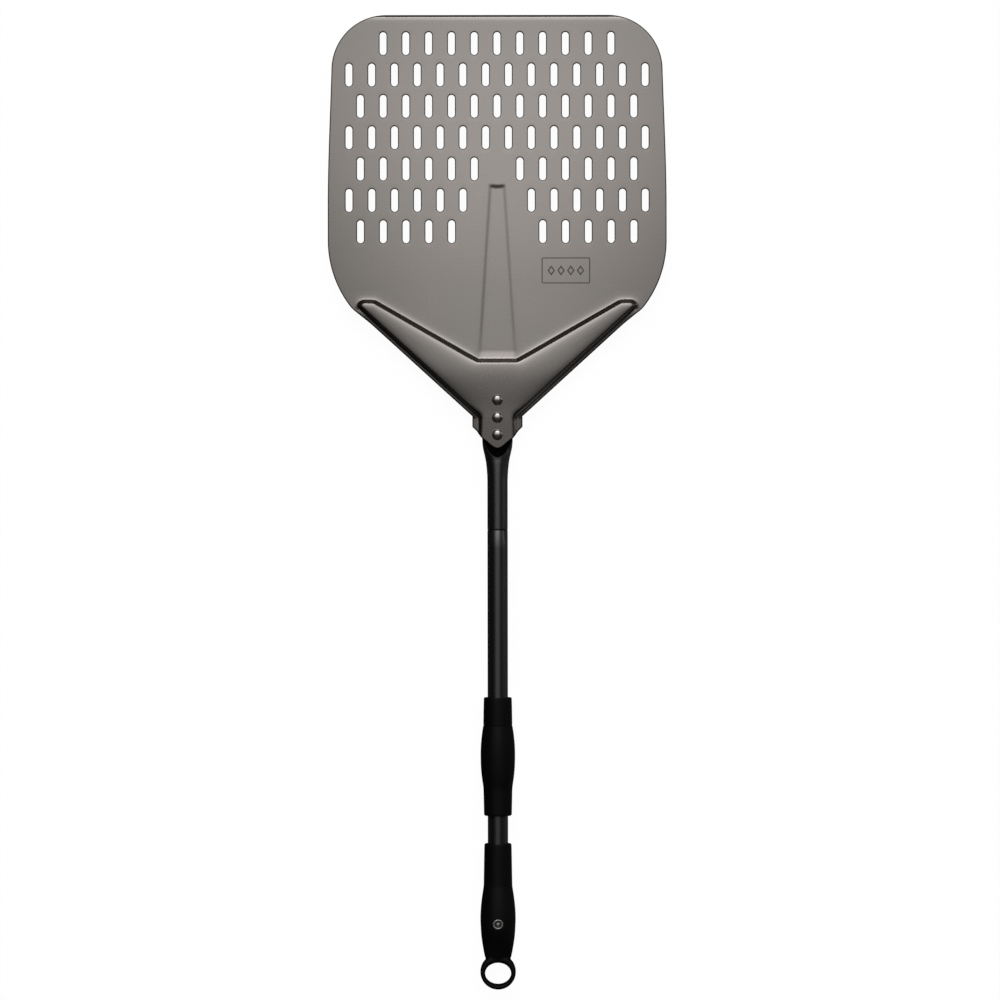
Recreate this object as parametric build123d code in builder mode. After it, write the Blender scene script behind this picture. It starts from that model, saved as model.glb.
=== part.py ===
from build123d import *
import math
import os

os.makedirs("parts", exist_ok=True)

# Perforated pizza peel, lying flat with its carrying face up.
# Origin: centre of the blade's carrying face (the blind spot in the middle
# of the slot pattern). +Y points to the front edge, the handle runs to -Y,
# +Z is up, out of the carrying face. All lengths are millimetres.

# ---------------------------------------------------------------- shared dimensions
sheet = 1.5                # blade sheet thickness

boss_h = 6.5               # height of the pressed V above the blade
crown_y = -203.0           # the neck crown starts to dip here
crown_deg = 4.0            # dip of the neck crown towards the tongue
crown_angle = math.radians(crown_deg)

rivet_ys = (-227.8, -245.1, -261.9)
rivet_shank_r = 2.5

tube_r = 10.0              # handle and neck tube, outside
tube_wall = 1.4
tube_bore_r = tube_r - tube_wall
tube_z = -2.0              # height of the tube axis
tube_axis = Axis((0, 0, tube_z), (0, 1, 0))
tube_end_y = -757.0        # hidden end of the handle tube

joint_y = -355.8           # plane of the screwed take-apart joint
joint_gap = 0.8
neck_end_y = joint_y + joint_gap / 2
handle_top_y = joint_y - joint_gap / 2

screw_y = -742.5           # screw that holds the end grip
screw_r = 1.9
screw_head_r = 4.9
screw_seat_z = 12.9


def crown(y):
    """Height of the crown of the V and neck above the carrying face."""
    if y > crown_y:
        return boss_h
    return boss_h + (y - crown_y) * math.tan(crown_angle)


def crown_plane(y):
    """Plane lying on the dipping neck crown at y."""
    return Plane(origin=(0, y, crown(y)), x_dir=(1, 0, 0),
                 z_dir=(0, -math.sin(crown_angle), math.cos(crown_angle)))


def cross_plane(y, z=tube_z):
    """Plane across the tube: sketch x along +X, sketch y along +Z, extrudes to -Y."""
    return Plane(origin=(0, y, z), x_dir=(1, 0, 0), z_dir=(0, -1, 0))


# ---------------------------------------------------------------- pressed V and neck
boss_edge = 2.6            # softened edge round the top of the pressing
room_edge = boss_edge - 0.4
boss_front_y = -120.0      # clipping profile starts ahead of the V
neck_half = 19.2           # half width of the neck pressing at its foot
flange_end_y = -262.0      # rear end of the neck pressing and its flange

# Right half of the foot of the pressing, from the middle of its front edge
# round the wing tip to the neck: x, y, and the shift in x and y per mm of inset
foot_outline = [
    (0, -186.3, 0, -1),
    (18.4, -186.3, -0.3, -1),
    (122.3, -127.9, -0.3, -1),
    (133.6, -127.9, -0.6, -1),
    (138.6, -132.6, -1, -0.3),
    (135.4, -139.9, -1, 0.4),
    (127.8, -146.5, -0.7, 0.75),
    (117.5, -155.4, -0.7, 0.75),
    (neck_half, -245.2, -1, 1.1),
]


def make_pressing(inset, outline_end_y, profile_end_y, edge):
    """Solid V and neck, its skin moved inwards and down by the inset."""
    foot = [(x + shift_x * inset, y + shift_y * inset)
            for x, y, shift_x, shift_y in foot_outline]
    bottom = -sheet - inset
    with BuildPart() as pressing:
        with BuildSketch(Plane.XY.offset(bottom)):
            with BuildLine():
                Polyline(*foot, (neck_half - inset, outline_end_y), (0, outline_end_y))
                mirror(about=Plane.YZ)
            make_face()
        extrude(amount=boss_h - bottom + 2)
        # side profile: level over the V, dipping along the neck
        with BuildSketch(Plane.YZ):
            with BuildLine():
                Polyline(
                    (boss_front_y, bottom),
                    (boss_front_y, boss_h - inset),
                    (crown_y, boss_h - inset),
                    (profile_end_y, crown(profile_end_y) - inset),
                    (profile_end_y, bottom),
                    close=True,
                )
            make_face()
        extrude(amount=200, both=True, mode=Mode.INTERSECT)
        # soften the rim of the top, except across the rear end
        rear_limit = max(outline_end_y, profile_end_y) + 1
        top_faces = pressing.faces().filter_by(lambda f: f.normal_at().Z > 0.9)
        rim = [e for e in top_faces.edges()
               if sum(1 for f in top_faces if e in f.edges()) == 1
               and e.center().Y > rear_limit]
        chamfer(rim, edge)
    return pressing.part


# ---------------------------------------------------------------- blade
front_y = 151.7            # straight front edge
corner_r = 54.0            # front corner radius
half_w_front = 163.1       # half width where the front corner ends
side_mid = (165.2, 30.0)   # point on the slightly bowed side
half_w = 166.9             # half width at the widest
straight_y = -38.0         # where the straight part of the side starts
side_y = -70.6             # where the side starts to curl in
ear_r = 106.4              # radius of the rear shoulder
ear_deg = 38.1             # angle the rear shoulder turns through
# x, y of the curve from the rear shoulder to the straight neck side
shoulder_curve = [(137.1, -142.5), (129.6, -148.5), (119.3, -157.3)]
flange_half = 24.7         # half width of the neck flange
flange_top_y = -243.7      # front end of the straight neck flange
flange_y = -254.3          # rear end of the straight neck flange
flange_tip_half = 15.6     # half width at the flange's rear edge

tongue_root_y = -243.0     # tongue that laps over the flattened tube
tongue_half = 15.3
# x, y of the right half of the tongue's rounded end, last point at the tip
tongue_curve = [(tongue_half, -265.7), (9.85, -270.0), (4.9, -274.2), (0, -275.8)]

slot_w = 6.7
slot_l = 22.5
slot_px = 22.45            # slot spacing across
slot_py = 30.9             # slot row spacing, rows staggered by half a pitch
# row number, outermost and innermost slot on each side, all in pitches from
# the centre; the last three rows are blind where the groove and the V are
slot_rows = [
    (4, 5, 0),
    (3, 6.5, 0.5),
    (2, 6, 0),
    (1, 6.5, 0.5),
    (0, 6, 1),
    (-1, 6.5, 1.5),
    (-2, 6, 2),
]
slot_cut = 4.0

bevel_w = 3.0              # milled bevel on the front edge
bevel_d = 0.8
bevel_half_l = 127.0
bevel_over = 1.0           # the cut runs this far past the edge

rib_top_y = -16.5          # stiffening groove down the middle
rib_end_y = -184.0
rib_top_half = 6.0
rib_end_half = 16.4
rib_depth = 1.0
rib_flare = 0.5            # the groove's mouth is this much wider all round
rib_taper = 35


def shoulder_point(degrees):
    """Point on the rear shoulder arc, turned this far from the side."""
    angle = math.radians(degrees)
    return (half_w - ear_r + ear_r * math.cos(angle), side_y - ear_r * math.sin(angle))


def rib_points(grow):
    """Right half of the groove outline, grown outwards."""
    return [
        (0, rib_top_y + grow),
        (rib_top_half + grow, rib_top_y + grow),
        (rib_end_half + grow, rib_end_y - grow),
        (0, rib_end_y - grow),
    ]


def on_crown(x, y):
    """Sketch point on the crown plane at crown_y that lies at x, y in plan."""
    return (x, (y - crown_y) / math.cos(crown_angle))


def slot_spots():
    spots = []
    for row, outer, inner in slot_rows:
        places = [i - outer for i in range(int(2 * outer) + 1)]
        spots += [(k * slot_px, row * slot_py) for k in places if abs(k) >= inner]
    return spots


def make_blade():
    outside = make_pressing(inset=0, outline_end_y=flange_end_y,
                            profile_end_y=-280.0, edge=boss_edge)
    room = make_pressing(inset=sheet, outline_end_y=-290.0,
                         profile_end_y=-284.0, edge=room_edge)
    corner_x = half_w_front - corner_r
    corner_y = front_y - corner_r
    corner_mid = corner_r * math.sqrt(0.5)
    shoulder_end = shoulder_point(ear_deg)

    with BuildPart() as blade:
        with BuildSketch(Plane.XY.offset(-sheet)):
            with BuildLine():
                Line((0, front_y), (corner_x, front_y))
                ThreePointArc((corner_x, front_y),
                              (corner_x + corner_mid, corner_y + corner_mid),
                              (half_w_front, corner_y))
                Spline((half_w_front, corner_y), side_mid, (half_w, straight_y),
                       tangents=((0.02, -1), (0, -1)))
                Line((half_w, straight_y), (half_w, side_y))
                ThreePointArc((half_w, side_y), shoulder_point(ear_deg / 2), shoulder_end)
                Spline(shoulder_end, *shoulder_curve,
                       tangents=((-0.8, -0.6), (-0.738, -0.674)))
                Line(shoulder_curve[-1], (flange_half, flange_top_y))
                Line((flange_half, flange_top_y), (flange_half, flange_y))
                Line((flange_half, flange_y), (flange_tip_half, flange_end_y))
                Line((flange_tip_half, flange_end_y), (0, flange_end_y))
                mirror(about=Plane.YZ)
            make_face()
        extrude(amount=sheet)
        # stiffening groove: pressed down, so it stands out underneath
        with BuildSketch(Plane.XY.offset(-sheet - rib_depth)):
            with BuildLine():
                Polyline(*rib_points(0))
                mirror(about=Plane.YZ)
            make_face()
        extrude(amount=rib_depth)
        with BuildSketch(Plane.XY):
            with BuildLine():
                Polyline(*rib_points(rib_flare))
                mirror(about=Plane.YZ)
            make_face()
        extrude(amount=-rib_depth, taper=rib_taper, mode=Mode.SUBTRACT)
        add(outside)
        # tongue
        with BuildSketch(crown_plane(crown_y)):
            with BuildLine():
                Polyline(on_crown(0, tongue_root_y), on_crown(tongue_half, tongue_root_y),
                         on_crown(*tongue_curve[0]))
                Spline(*[on_crown(x, y) for x, y in tongue_curve],
                       tangents=((-0.85, -0.53), (-1, 0)))
                mirror(about=Plane.YZ)
            make_face()
        extrude(amount=-sheet)
        # hollow out the pressing from below
        add(room, mode=Mode.SUBTRACT)
        with BuildSketch(Plane.XY):
            with Locations(*slot_spots()):
                SlotOverall(slot_l, slot_w, rotation=90)
        extrude(amount=-slot_cut, mode=Mode.SUBTRACT)
        # rivet holes through the neck crown
        for y in rivet_ys:
            with BuildSketch(crown_plane(y)):
                Circle(rivet_shank_r)
            extrude(amount=-2 * sheet, mode=Mode.SUBTRACT)
        # milled bevel that lets the edge slide under a pizza
        with BuildSketch(Plane.YZ):
            with BuildLine():
                Polyline((front_y - bevel_w, 0), (front_y + bevel_over, 0),
                         (front_y + bevel_over, -bevel_d * (1 + bevel_over / bevel_w)),
                         close=True)
            make_face()
        extrude(amount=bevel_half_l, both=True, mode=Mode.SUBTRACT)
    return blade.part


# ---------------------------------------------------------------- rivets
rivet_head_r = 5.15
rivet_head_h = 2.7
rivet_head_round = 2.2
rivet_tail_r = 4.2
rivet_tail_h = 1.6
rivet_tail_round = 1.1
lap_gap = 0.02             # between the neck sheet and the flattened tube


def make_rivets():
    grip = sheet + lap_gap + 2 * tube_wall
    with BuildPart() as rivets:
        for y in rivet_ys:
            seat = crown_plane(y)
            for plane, radius, height in (
                (seat, rivet_head_r, rivet_head_h),
                (seat, rivet_shank_r, -grip),
                (seat.offset(-grip), rivet_tail_r, -rivet_tail_h),
            ):
                with BuildSketch(plane):
                    Circle(radius)
                extrude(amount=height)
        # domed heads and rounded tails
        fillet([e for e in rivets.edges().filter_by(GeomType.CIRCLE)
                if e.radius > rivet_head_r - 0.01
                and e.center().Z > crown(e.center().Y) + 1.5], rivet_head_round)
        fillet([e for e in rivets.edges().filter_by(GeomType.CIRCLE)
                if abs(e.radius - rivet_tail_r) < 0.01
                and e.center().Z < crown(e.center().Y) - 5.2], rivet_tail_round)
    return rivets.part


# ---------------------------------------------------------------- neck tube
flat_half = 15.05          # half width of the pressed flat tube end
flat_start_y = -217.5
flat_end_y = -268.0
flat_squareness = 3.4
round_y = -303.0           # the tube is fully round from here


def flat_station(y):
    axis_z = crown(y) - (lap_gap + sheet + tube_wall)
    return (y, flat_half, tube_wall, axis_z, flat_squareness)


def round_station(y, radius):
    return (y, radius, radius, tube_z, 2.0)


# stations: y, half width, half height, axis height, squareness (2 is an ellipse)
neck_skin = [
    flat_station(flat_start_y),
    flat_station(flat_end_y),
    (-276.0, 14.2, 2.3, -2.62, 2.9),
    (-280.8, 13.1, 5.0, -2.6, 2.4),
    (-287.3, 11.6, 7.8, -2.3, 2.1),
    (-295.2, 10.6, 9.3, tube_z, 2.0),
    round_station(round_y, tube_r),
    round_station(neck_end_y, tube_r),
]
neck_bore = [
    (-279.5, 11.9, 1.6, -2.6, 2.4),
    (-282.5, 11.2, 4.2, -2.5, 2.3),
    (-287.3, 10.1, 6.4, -2.3, 2.1),
    (-295.2, 9.1, 7.9, tube_z, 2.0),
    round_station(round_y, tube_bore_r),
    round_station(neck_end_y - 1, tube_bore_r),
]


def superellipse(half_width, half_height, squareness, count=32):
    points = []
    for i in range(count):
        angle = 2 * math.pi * i / count
        cosine, sine = math.cos(angle), math.sin(angle)
        points.append((
            half_width * math.copysign(abs(cosine) ** (2 / squareness), cosine),
            half_height * math.copysign(abs(sine) ** (2 / squareness), sine),
        ))
    return points


def section(y, half_width, half_height, axis_z, squareness):
    """Face across the tube at one station."""
    with BuildSketch(cross_plane(y, axis_z)) as outline:
        with BuildLine():
            Spline(*superellipse(half_width, half_height, squareness), periodic=True)
        make_face()
    return outline.sketch.faces()[0]


def make_neck_tube():
    with BuildPart() as neck_tube:
        loft([section(*station) for station in neck_skin], ruled=True)
        # bore: opens out of the flattened end and runs to the joint
        loft([section(*station) for station in neck_bore], ruled=True, mode=Mode.SUBTRACT)
        for y in rivet_ys:
            with BuildSketch(crown_plane(y)):
                Circle(rivet_shank_r)
            extrude(amount=-8, mode=Mode.SUBTRACT)
    return neck_tube.part


# ---------------------------------------------------------------- screwed joint
washer_t = 0.7
washer_inset = 0.25        # washer rim inside the tube's outside
washer_clear = 0.3         # washer hole round the thread
thread_r = 5.9
thread_bore_r = 5.95
thread_len = 17.5
thread_bore_len = thread_len + 3
stud_held = 18.0           # length of stud held in the handle's plug
socket_len = 30.0


def make_neck_socket():
    """Female insert pressed into the neck tube."""
    with BuildPart() as neck_socket:
        with BuildSketch(cross_plane(neck_end_y + socket_len)):
            Circle(tube_bore_r)
        extrude(amount=socket_len)
        with BuildSketch(cross_plane(neck_end_y)):
            Circle(thread_bore_r)
        extrude(amount=-thread_bore_len, mode=Mode.SUBTRACT)
        mouth_edges = neck_socket.edges().filter_by(GeomType.CIRCLE).group_by(Axis.Y)[0]
        chamfer(mouth_edges.sort_by(SortBy.RADIUS)[0], 0.8)
    return neck_socket.part


def make_joint_washer():
    """Thin plastic washer between the two tube ends."""
    with BuildPart() as joint_washer:
        with BuildSketch(cross_plane(joint_y + washer_t / 2)):
            Circle(tube_r - washer_inset)
            Circle(thread_r + washer_clear, mode=Mode.SUBTRACT)
        extrude(amount=washer_t)
    return joint_washer.part


def make_joint_stud():
    """Male stud held in the handle's plug."""
    with BuildPart() as joint_stud:
        with BuildSketch(cross_plane(handle_top_y + thread_len)):
            Circle(thread_r)
        extrude(amount=thread_len + stud_held)
        chamfer(joint_stud.edges().filter_by(GeomType.CIRCLE).sort_by(Axis.Y)[-1], 1.0)
    return joint_stud.part


def make_handle_plug():
    with BuildPart() as handle_plug:
        with BuildSketch(cross_plane(handle_top_y)):
            Circle(tube_bore_r)
        extrude(amount=socket_len)
        with BuildSketch(cross_plane(handle_top_y)):
            Circle(thread_r)
        extrude(amount=stud_held, mode=Mode.SUBTRACT)
    return handle_plug.part


# ---------------------------------------------------------------- handle tube
def make_handle_tube():
    with BuildPart() as handle_tube:
        with BuildSketch(cross_plane(handle_top_y)):
            Circle(tube_r)
            Circle(tube_bore_r, mode=Mode.SUBTRACT)
        extrude(amount=handle_top_y - tube_end_y)
        # pilot hole for the end screw, top wall only
        with BuildSketch(Plane(origin=(0, screw_y, tube_z))):
            Circle(screw_r)
        extrude(amount=tube_r + 1, mode=Mode.SUBTRACT)
    return handle_tube.part


# ---------------------------------------------------------------- sliding grip
grip_a_y = -520.8          # sliding grip, front end
grip_b_y = -637.0          # sliding grip, rear end
grip_bore_r = tube_r + 0.6
glide_r = 12.0
glide_len = 12.0
glide_lip = 1.6            # thickness of the lip that keeps a bush in its pocket
glide_lip_r = glide_r - 0.9
glide_clear = 0.05
glide_slit_w = 1.6
glide_slit_h = 6.0
glide_slit_drop = 11.0     # centre of the slit cutter below the tube axis
pocket_r = glide_r + glide_clear
pocket_len = glide_len + 2 * glide_clear

# outside of the grip, front to rear: radius, y
mid_profile = [
    (13.75, -521.7), (13.99, -529.6), (14.13, -537.5), (14.26, -546.4),
    (14.55, -549.3), (15.17, -553.3), (15.71, -557.2), (16.15, -561.2),
    (16.55, -565.1), (16.79, -569.0), (16.96, -573.0), (17.0, -577.0),
    (16.96, -581.0), (16.89, -584.8), (16.75, -588.8), (16.5, -592.7),
    (16.1, -596.6), (15.66, -600.6), (15.07, -604.5), (14.48, -608.5),
    (14.18, -612.4), (14.04, -620.3), (13.84, -628.2), (13.7, -635.9),
]


def make_mid_grip():
    rear_face_r = 12.7
    front_face_r = 12.8
    rear_lip_y = grip_b_y + glide_lip
    front_lip_y = grip_a_y - glide_lip
    with BuildPart() as mid_grip:
        with BuildSketch(Plane.XY.offset(tube_z)):
            with BuildLine():
                Spline(*mid_profile)
                ThreePointArc(mid_profile[-1], (13.4, -636.7), (rear_face_r, grip_b_y))
                Polyline(
                    (rear_face_r, grip_b_y),
                    (glide_lip_r, grip_b_y),
                    (glide_lip_r, rear_lip_y),
                    (pocket_r, rear_lip_y),
                    (pocket_r, rear_lip_y + pocket_len),
                    (grip_bore_r, rear_lip_y + pocket_len),
                    (grip_bore_r, front_lip_y - pocket_len),
                    (pocket_r, front_lip_y - pocket_len),
                    (pocket_r, front_lip_y),
                    (glide_lip_r, front_lip_y),
                    (glide_lip_r, grip_a_y),
                    (front_face_r, grip_a_y),
                )
                ThreePointArc((front_face_r, grip_a_y), (13.5, grip_a_y - 0.25),
                              mid_profile[0])
            make_face()
        revolve(axis=tube_axis)
    return mid_grip.part


def make_glide_bush(bush_front_y):
    """Split bush held in a pocket at one end of the sliding grip."""
    with BuildPart() as bush:
        with BuildSketch(cross_plane(bush_front_y)):
            Circle(glide_r)
            Circle(tube_r + glide_clear, mode=Mode.SUBTRACT)
            with Locations((0, -glide_slit_drop)):
                Rectangle(glide_slit_w, glide_slit_h, mode=Mode.SUBTRACT)
        extrude(amount=glide_len)
        chamfer(bush.edges().filter_by(GeomType.CIRCLE)
                .filter_by(lambda e: e.radius > tube_r + 1), 0.4)
    return bush.part


def make_front_bush():
    return make_glide_bush(grip_a_y - glide_lip - glide_clear)


def make_rear_bush():
    return make_glide_bush(grip_b_y + glide_lip + glide_clear + glide_len)


# ---------------------------------------------------------------- end grip
end_a_y = -664.6           # end grip, front end
end_face_r = 12.5
ring_c_y = -791.1          # centre of the hanging ring
ring_r = 17.5
ring_t = 11.0
ring_round = 1.6
hole_c_y = -792.7
hole_w = 25.5
hole_l = 20.9
bridge_y = -778.0          # block that joins the grip to the ring
bridge_w = 26.2
bridge_l = 12.0
screw_head_clear = 0.35
screw_clear = 0.15

# outside of the end grip, front to rear: radius, y
end_profile = [
    (13.4, -665.9), (13.64, -677.4), (13.84, -689.2), (14.04, -701.0),
    (14.2, -706.9), (14.62, -709.9), (15.12, -712.8), (15.58, -715.8),
    (15.98, -718.7), (16.35, -721.7), (16.68, -724.7), (16.94, -727.6),
    (17.14, -730.6), (17.3, -733.5), (17.39, -737.0), (17.36, -741.0),
    (17.19, -745.3), (16.87, -751.2), (16.35, -757.1), (15.51, -763.1),
    (14.45, -769.0), (13.75, -773.0), (12.9, -777.0), (11.2, -780.0),
]
end_tip = (9.5, -781.4)

# side profile that flattens the grip towards the ring: y, half height
end_trim = [
    (end_a_y + 5, 20), (-758.0, 20), (-758.0, 16.4), (-768.0, 13.0),
    (-778.0, 8.6), (-784.0, ring_t / 2), (-790.0, ring_t / 2),
]


def make_end_grip():
    with BuildPart() as end_grip:
        with BuildSketch(Plane.XY.offset(tube_z)):
            with BuildLine():
                Spline(*end_profile)
                Polyline(end_profile[-1], end_tip, (0, end_tip[1]), (0, end_a_y),
                         (end_face_r, end_a_y))
                ThreePointArc((end_face_r, end_a_y), (13.15, end_a_y - 0.35),
                              end_profile[0])
            make_face()
        revolve(axis=tube_axis)
        # trim the round end so that it blends into the flatter ring
        with BuildSketch(Plane.YZ):
            with BuildLine():
                Polyline(*[(y, tube_z + h) for y, h in end_trim],
                         *[(y, tube_z - h) for y, h in reversed(end_trim)], close=True)
            make_face()
        extrude(amount=30, both=True, mode=Mode.INTERSECT)
        # hanging ring
        with BuildSketch(Plane.XY.offset(tube_z - ring_t / 2)):
            with Locations((0, ring_c_y)):
                Circle(ring_r)
            with Locations((0, bridge_y)):
                Rectangle(bridge_w, bridge_l)
            with Locations((0, hole_c_y)):
                Ellipse(hole_w / 2, hole_l / 2, mode=Mode.SUBTRACT)
        extrude(amount=ring_t)
        # socket for the tube
        with BuildSketch(cross_plane(end_a_y)):
            Circle(tube_r)
        extrude(amount=end_a_y - tube_end_y, mode=Mode.SUBTRACT)
        # seat and clearance for the screw
        with BuildSketch(Plane(origin=(0, screw_y, screw_seat_z))):
            Circle(screw_head_r + screw_head_clear)
        extrude(amount=8, mode=Mode.SUBTRACT)
        with BuildSketch(Plane(origin=(0, screw_y, tube_z))):
            Circle(screw_r + screw_clear)
        extrude(amount=20, mode=Mode.SUBTRACT)
        ring_edges = end_grip.edges().filter_by(
            lambda e: e.center().Y < -786 and e.geom_type != GeomType.LINE)
        fillet(ring_edges, ring_round)
    return end_grip.part


# ---------------------------------------------------------------- end plug and screw
plug_front_y = -733.0
plug_len = 23.0
screw_head_h = 2.3
screw_len = 13.0           # below the head
screw_tip_len = 3.0        # tapered tip
screw_rim_h = 0.9          # straight rim of the head
recess_l = 5.0
recess_w = 1.1
recess_depth = 1.5


def make_end_plug():
    """Plug inside the tube that the screw bites into."""
    with BuildPart() as end_plug:
        with BuildSketch(cross_plane(plug_front_y)):
            Circle(tube_bore_r)
        extrude(amount=plug_len)
        with BuildSketch(Plane(origin=(0, screw_y, tube_z - 3))):
            Circle(screw_r)
        extrude(amount=20, mode=Mode.SUBTRACT)
    return end_plug.part


def make_end_grip_screw():
    """Pan head screw with a cross recess."""
    top = screw_seat_z + screw_head_h
    tip = screw_seat_z - screw_len
    rim = (screw_head_r, screw_seat_z + screw_rim_h)
    with BuildPart() as screw:
        with BuildSketch(cross_plane(screw_y, 0)):
            with BuildLine():
                ThreePointArc((0, top), (3.0, top - 0.35), rim)
                Polyline(rim, (screw_head_r, screw_seat_z), (screw_r, screw_seat_z),
                         (screw_r, tip + screw_tip_len), (0, tip), (0, top))
            make_face()
        revolve(axis=Axis((0, screw_y, 0), (0, 0, 1)))
        with BuildSketch(Plane(origin=(0, screw_y, top))):
            Rectangle(recess_l, recess_w)
            Rectangle(recess_w, recess_l)
        extrude(amount=-recess_depth, taper=12, mode=Mode.SUBTRACT)
    return screw.part


# ---------------------------------------------------------------- export
pieces = {
    "blade": make_blade,
    "rivets": make_rivets,
    "neck_tube": make_neck_tube,
    "neck_socket": make_neck_socket,
    "joint_washer": make_joint_washer,
    "joint_stud": make_joint_stud,
    "handle_plug": make_handle_plug,
    "handle_tube": make_handle_tube,
    "mid_grip": make_mid_grip,
    "glide_bush_front": make_front_bush,
    "glide_bush_rear": make_rear_bush,
    "end_grip": make_end_grip,
    "end_plug": make_end_plug,
    "end_grip_screw": make_end_grip_screw,
}

for name, make_piece in pieces.items():
    piece = make_piece()
    piece.label = name
    export_step(piece, f"parts/{name}.step")
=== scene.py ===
# A slotted peel: a thin sheet blade riveted to a long tube handle with a sliding grip and a
# ring at its end. It lies flat: x runs across, +y points to the blade's front edge, the handle
# runs towards -y and z is up, with the blade's top face at z = 0. Shapes are given in
# millimetres and turned into metres when a mesh is made.
import math

import bmesh
import bpy
import numpy as np
from mathutils import Matrix, Vector, geometry


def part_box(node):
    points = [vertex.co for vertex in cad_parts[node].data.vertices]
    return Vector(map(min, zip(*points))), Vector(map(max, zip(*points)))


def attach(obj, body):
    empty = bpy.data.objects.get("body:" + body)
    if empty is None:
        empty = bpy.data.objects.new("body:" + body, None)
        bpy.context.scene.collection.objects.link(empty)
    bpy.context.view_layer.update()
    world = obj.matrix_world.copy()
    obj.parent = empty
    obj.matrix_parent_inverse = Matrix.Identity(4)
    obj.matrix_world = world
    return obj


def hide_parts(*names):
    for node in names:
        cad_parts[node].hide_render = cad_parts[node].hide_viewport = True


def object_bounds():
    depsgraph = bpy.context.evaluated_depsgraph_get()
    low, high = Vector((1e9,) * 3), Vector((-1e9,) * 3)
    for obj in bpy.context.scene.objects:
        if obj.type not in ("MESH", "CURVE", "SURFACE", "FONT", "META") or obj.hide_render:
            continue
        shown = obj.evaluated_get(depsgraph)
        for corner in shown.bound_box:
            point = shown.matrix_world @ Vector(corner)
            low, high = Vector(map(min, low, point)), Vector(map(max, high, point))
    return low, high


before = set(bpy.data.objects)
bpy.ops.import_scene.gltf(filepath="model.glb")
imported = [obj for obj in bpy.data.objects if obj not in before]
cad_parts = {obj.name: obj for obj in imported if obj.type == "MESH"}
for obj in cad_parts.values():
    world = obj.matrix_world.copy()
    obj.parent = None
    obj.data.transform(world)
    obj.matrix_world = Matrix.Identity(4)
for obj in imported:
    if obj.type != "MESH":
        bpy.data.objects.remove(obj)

MM = 0.001
CAD_LO, CAD_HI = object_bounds()


def middle(piece, axis):
    """Middle of a CAD piece along one axis, in millimetres."""
    low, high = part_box(piece)
    return (getattr(low, axis) + getattr(high, axis)) / 2 / MM


# the tubes and their joint
TUBE_Z = middle("handle_tube", "z")
TUBE_R, BORE_R = 10.0, 8.6
NECK_REAR = -355.4              # rear end of the neck tube
HANDLE_FRONT, HANDLE_REAR = -356.2, -757.0
THREAD_PITCH = 1.75
INSERT_R, INSERT_LENGTH = 8.58, 30      # socket and plug inside the tubes

# the screw in the end grip
SCREW_Y = middle("end_grip_screw", "y")
SEAT_Z = 12.9

# the blade's sheet and its outline
SHEET = 1.5
CORNER_X, CORNER_Y, CORNER_R = 109.1, 97.7, 54      # rounded front corner
FRONT = CORNER_Y + CORNER_R
FRONT_HALF = CORNER_X + CORNER_R                    # half width behind the front corner
SWEEP_X, SWEEP_Y, SWEEP_R = 60.5, -70.6, 106.4      # large arc behind the straight sides
WIDE_HALF = SWEEP_X + SWEEP_R
STRAIGHT_Y = -38                                    # the straight sides start here

# the raised V and neck of the blade
BOSS = 6.2                      # height of the raised part
CROWN_Y = -203.0                # behind this its top slopes down
CROWN_TILT = math.radians(4.0)
CROWN_TAN = math.tan(CROWN_TILT)

# the groove along the middle of the blade
GROOVE_FRONT, GROOVE_REAR, GROOVE_DEPTH = -17.6, -187.4, 0.62

# =====================================================================
# meshes
# =====================================================================


def mesh_from_mm(name, verts, faces):
    mesh = bpy.data.meshes.new(name)
    points = (np.asarray(verts, float) * MM).tolist()
    mesh.from_pydata(points, [], [list(map(int, face)) for face in faces])
    mesh.validate(clean_customdata=False)
    return mesh


def link_object(name, mesh):
    ob = bpy.data.objects.new(name, mesh)
    bpy.context.scene.collection.objects.link(ob)
    return ob


def face_outward(mesh):
    bm = bmesh.new()
    bm.from_mesh(mesh)
    bmesh.ops.recalc_face_normals(bm, faces=bm.faces)
    bm.to_mesh(mesh)
    bm.free()


def mount(name, mesh, body, piece, sharp=None):
    """Smooth-shaded object that rides on a body and replaces a CAD piece; sharp in degrees."""
    mesh.shade_smooth()
    if sharp is not None:
        mesh.set_sharp_from_angle(angle=math.radians(sharp))
    ob = link_object(name, mesh)
    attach(ob, body)
    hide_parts(piece)
    return ob


def new_object(name, verts, faces, body, piece, sharp=None, outward=True, weights=None):
    """Mounted object from millimetre points; weights is (attribute name, value per point)."""
    mesh = mesh_from_mm(name, verts, faces)
    if weights:
        mesh.attributes.new(weights[0], "FLOAT", "POINT").data.foreach_set("value", weights[1])
    if outward:
        face_outward(mesh)
    return mount(name, mesh, body, piece, sharp)


def stitch(rings, closed=False, flip=False):
    """Faces between neighbouring rings of point numbers; a ring of one point is a pole."""
    faces = []
    for a, b in zip(rings, rings[1:] + (rings[:1] if closed else [])):
        size = max(len(a), len(b))
        for k in range(size):
            k2 = (k + 1) % size
            if len(a) == 1:
                face = (a[0], b[k2], b[k])
            elif len(b) == 1:
                face = (a[k], a[k2], b[0])
            else:
                face = (a[k], a[k2], b[k2], b[k])
            faces.append((face[0], *face[:0:-1]) if flip else face)
    return faces


def on_axis(radius, y, angle):
    """Point around the tube axis."""
    return radius * math.cos(angle), y, TUBE_Z + radius * math.sin(angle)


def revolve(profile, segments, place, closed=False, flip=False):
    """Turns (radius, distance along the axis) pairs; place(radius, along, angle) is a point."""
    verts, rings = [], []
    for radius, along in profile:
        count = 1 if radius < 1e-6 else segments
        rings.append(list(range(len(verts), len(verts) + count)))
        verts += [place(radius, along, 2 * math.pi * k / segments) for k in range(count)]
    return verts, stitch(rings, closed, flip)


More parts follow.
